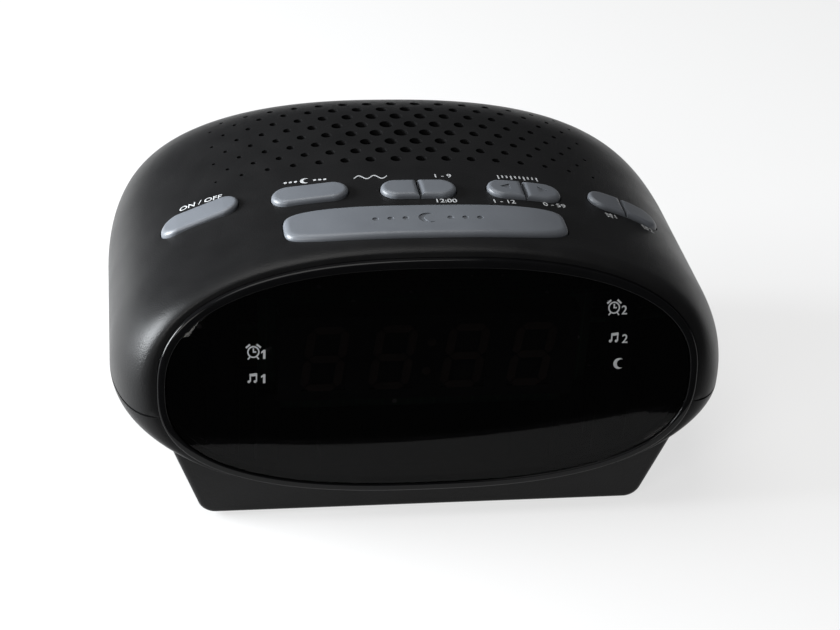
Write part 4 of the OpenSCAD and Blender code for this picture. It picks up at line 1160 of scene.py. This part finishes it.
# Stage: a pale table top whose bowed front edge lies just below the picture, a soft box over it, a
# large soft light at the left, a weak one in front and the camera of the photograph.
table_half_w = 900.0
table_front_y = -106.7
table_back_y = 1100.0
table_bow = 0.0035
table_bow_x = -12.0
table_bow_most = 30.0
edge_x = np.linspace(-table_half_w, table_half_w, 181)
edge_y = table_front_y - np.minimum(table_bow * (edge_x - table_bow_x) ** 2, table_bow_most)
table_front = [(x, y, 0) for x, y in zip(edge_x, edge_y)]
table_points = [*table_front, (table_half_w, table_back_y, 0), (-table_half_w, table_back_y, 0)]
table = solid("table_top", table_points, [tuple(range(len(table_points)))])
glow_share = 0.68
table_white, table_tree, table_shader = new_finish("table_white")
fill(table_tree, table_shader, {"Base Color": (0.86, 0.86, 0.86, 1), "Roughness": 0.8})
table_glow = add_node(table_tree, "ShaderNodeEmission", {})["Emission"]
path = add_node(table_tree, "ShaderNodeLightPath", {})
seen = add_node(table_tree, "ShaderNodeMath",
    {0: path["Is Camera Ray"], 1: path["Is Glossy Ray"]}, operation="MAXIMUM")[0]
shown = add_node(table_tree, "ShaderNodeMath",
    {0: seen, 1: path["Is Transmission Ray"]}, operation="MAXIMUM")[0]
glow_part = add_node(table_tree, "ShaderNodeMath", {0: shown, 1: glow_share}, operation="MULTIPLY")[0]
table_mix = add_node(table_tree, "ShaderNodeMixShader",
    {"Fac": glow_part, 1: table_shader.outputs["BSDF"], 2: table_glow})
fill(table_tree, table_tree.nodes["Material Output"], {"Surface": table_mix["Shader"]})
table.data.materials.append(table_white)

world = bpy.data.worlds.new("studio")
world.use_nodes = True
world.node_tree.nodes["Background"].inputs["Color"].default_value = (0.08, 0.082, 0.086, 1)
bpy.context.scene.world = world


def soft_light(name, place, aim, size, power, colour):
    lamp = bpy.data.lights.new(name, "AREA")
    lamp.shape = "RECTANGLE"
    lamp.size, lamp.size_y = size
    lamp.energy = power
    lamp.color = colour
    turn = (Vector(aim) - Vector(place)).to_track_quat("-Z", "Y").to_matrix().to_4x4()
    add_object(name, lamp).matrix_world = Matrix.Translation(place) @ turn


soft_light("window_light", (-0.67, 0.06, 0.22), (-0.06, -0.04, 0.05), (0.4, 0.3), 14.5, (0.93, 0.97, 1.0))
soft_light("overhead_box", (-0.15, 0.05, 0.85), (0, 0, 0.04), (0.6, 0.6), 3.6, (1.0, 0.99, 0.97))
soft_light("front_fill", (-0.55, -0.75, 0.5), (0, 0, 0.05), (0.3, 0.3), 2.4, (1.0, 0.98, 0.95))

camera_data = bpy.data.cameras.new("camera")
camera_data.sensor_width = 36.0
focal_px = 1913.0
image_w = 840.0
camera_data.lens = focal_px / image_w * camera_data.sensor_width
camera_data.dof.use_dof = False
camera = add_object("camera", camera_data)
yaw, pitch, roll = (math.radians(a) for a in (10.411, 31.509, 4.161))
target = Vector((0.955, -25.0, 43.359)) * MM
distance = 528.625 * MM
sight = Vector((math.sin(yaw) * math.cos(pitch), math.cos(yaw) * math.cos(pitch), -math.sin(pitch)))
level = Vector((math.cos(yaw), -math.sin(yaw), 0))
rise = level.cross(sight)
across = level * math.cos(roll) + rise * math.sin(roll)
up = rise * math.cos(roll) - level * math.sin(roll)
pose = Matrix((across, up, -sight)).transposed().to_4x4()
camera.matrix_world = Matrix.Translation(target - sight * distance) @ pose
bpy.context.scene.camera = camera
bpy.context.scene.view_settings.view_transform = "Standard"
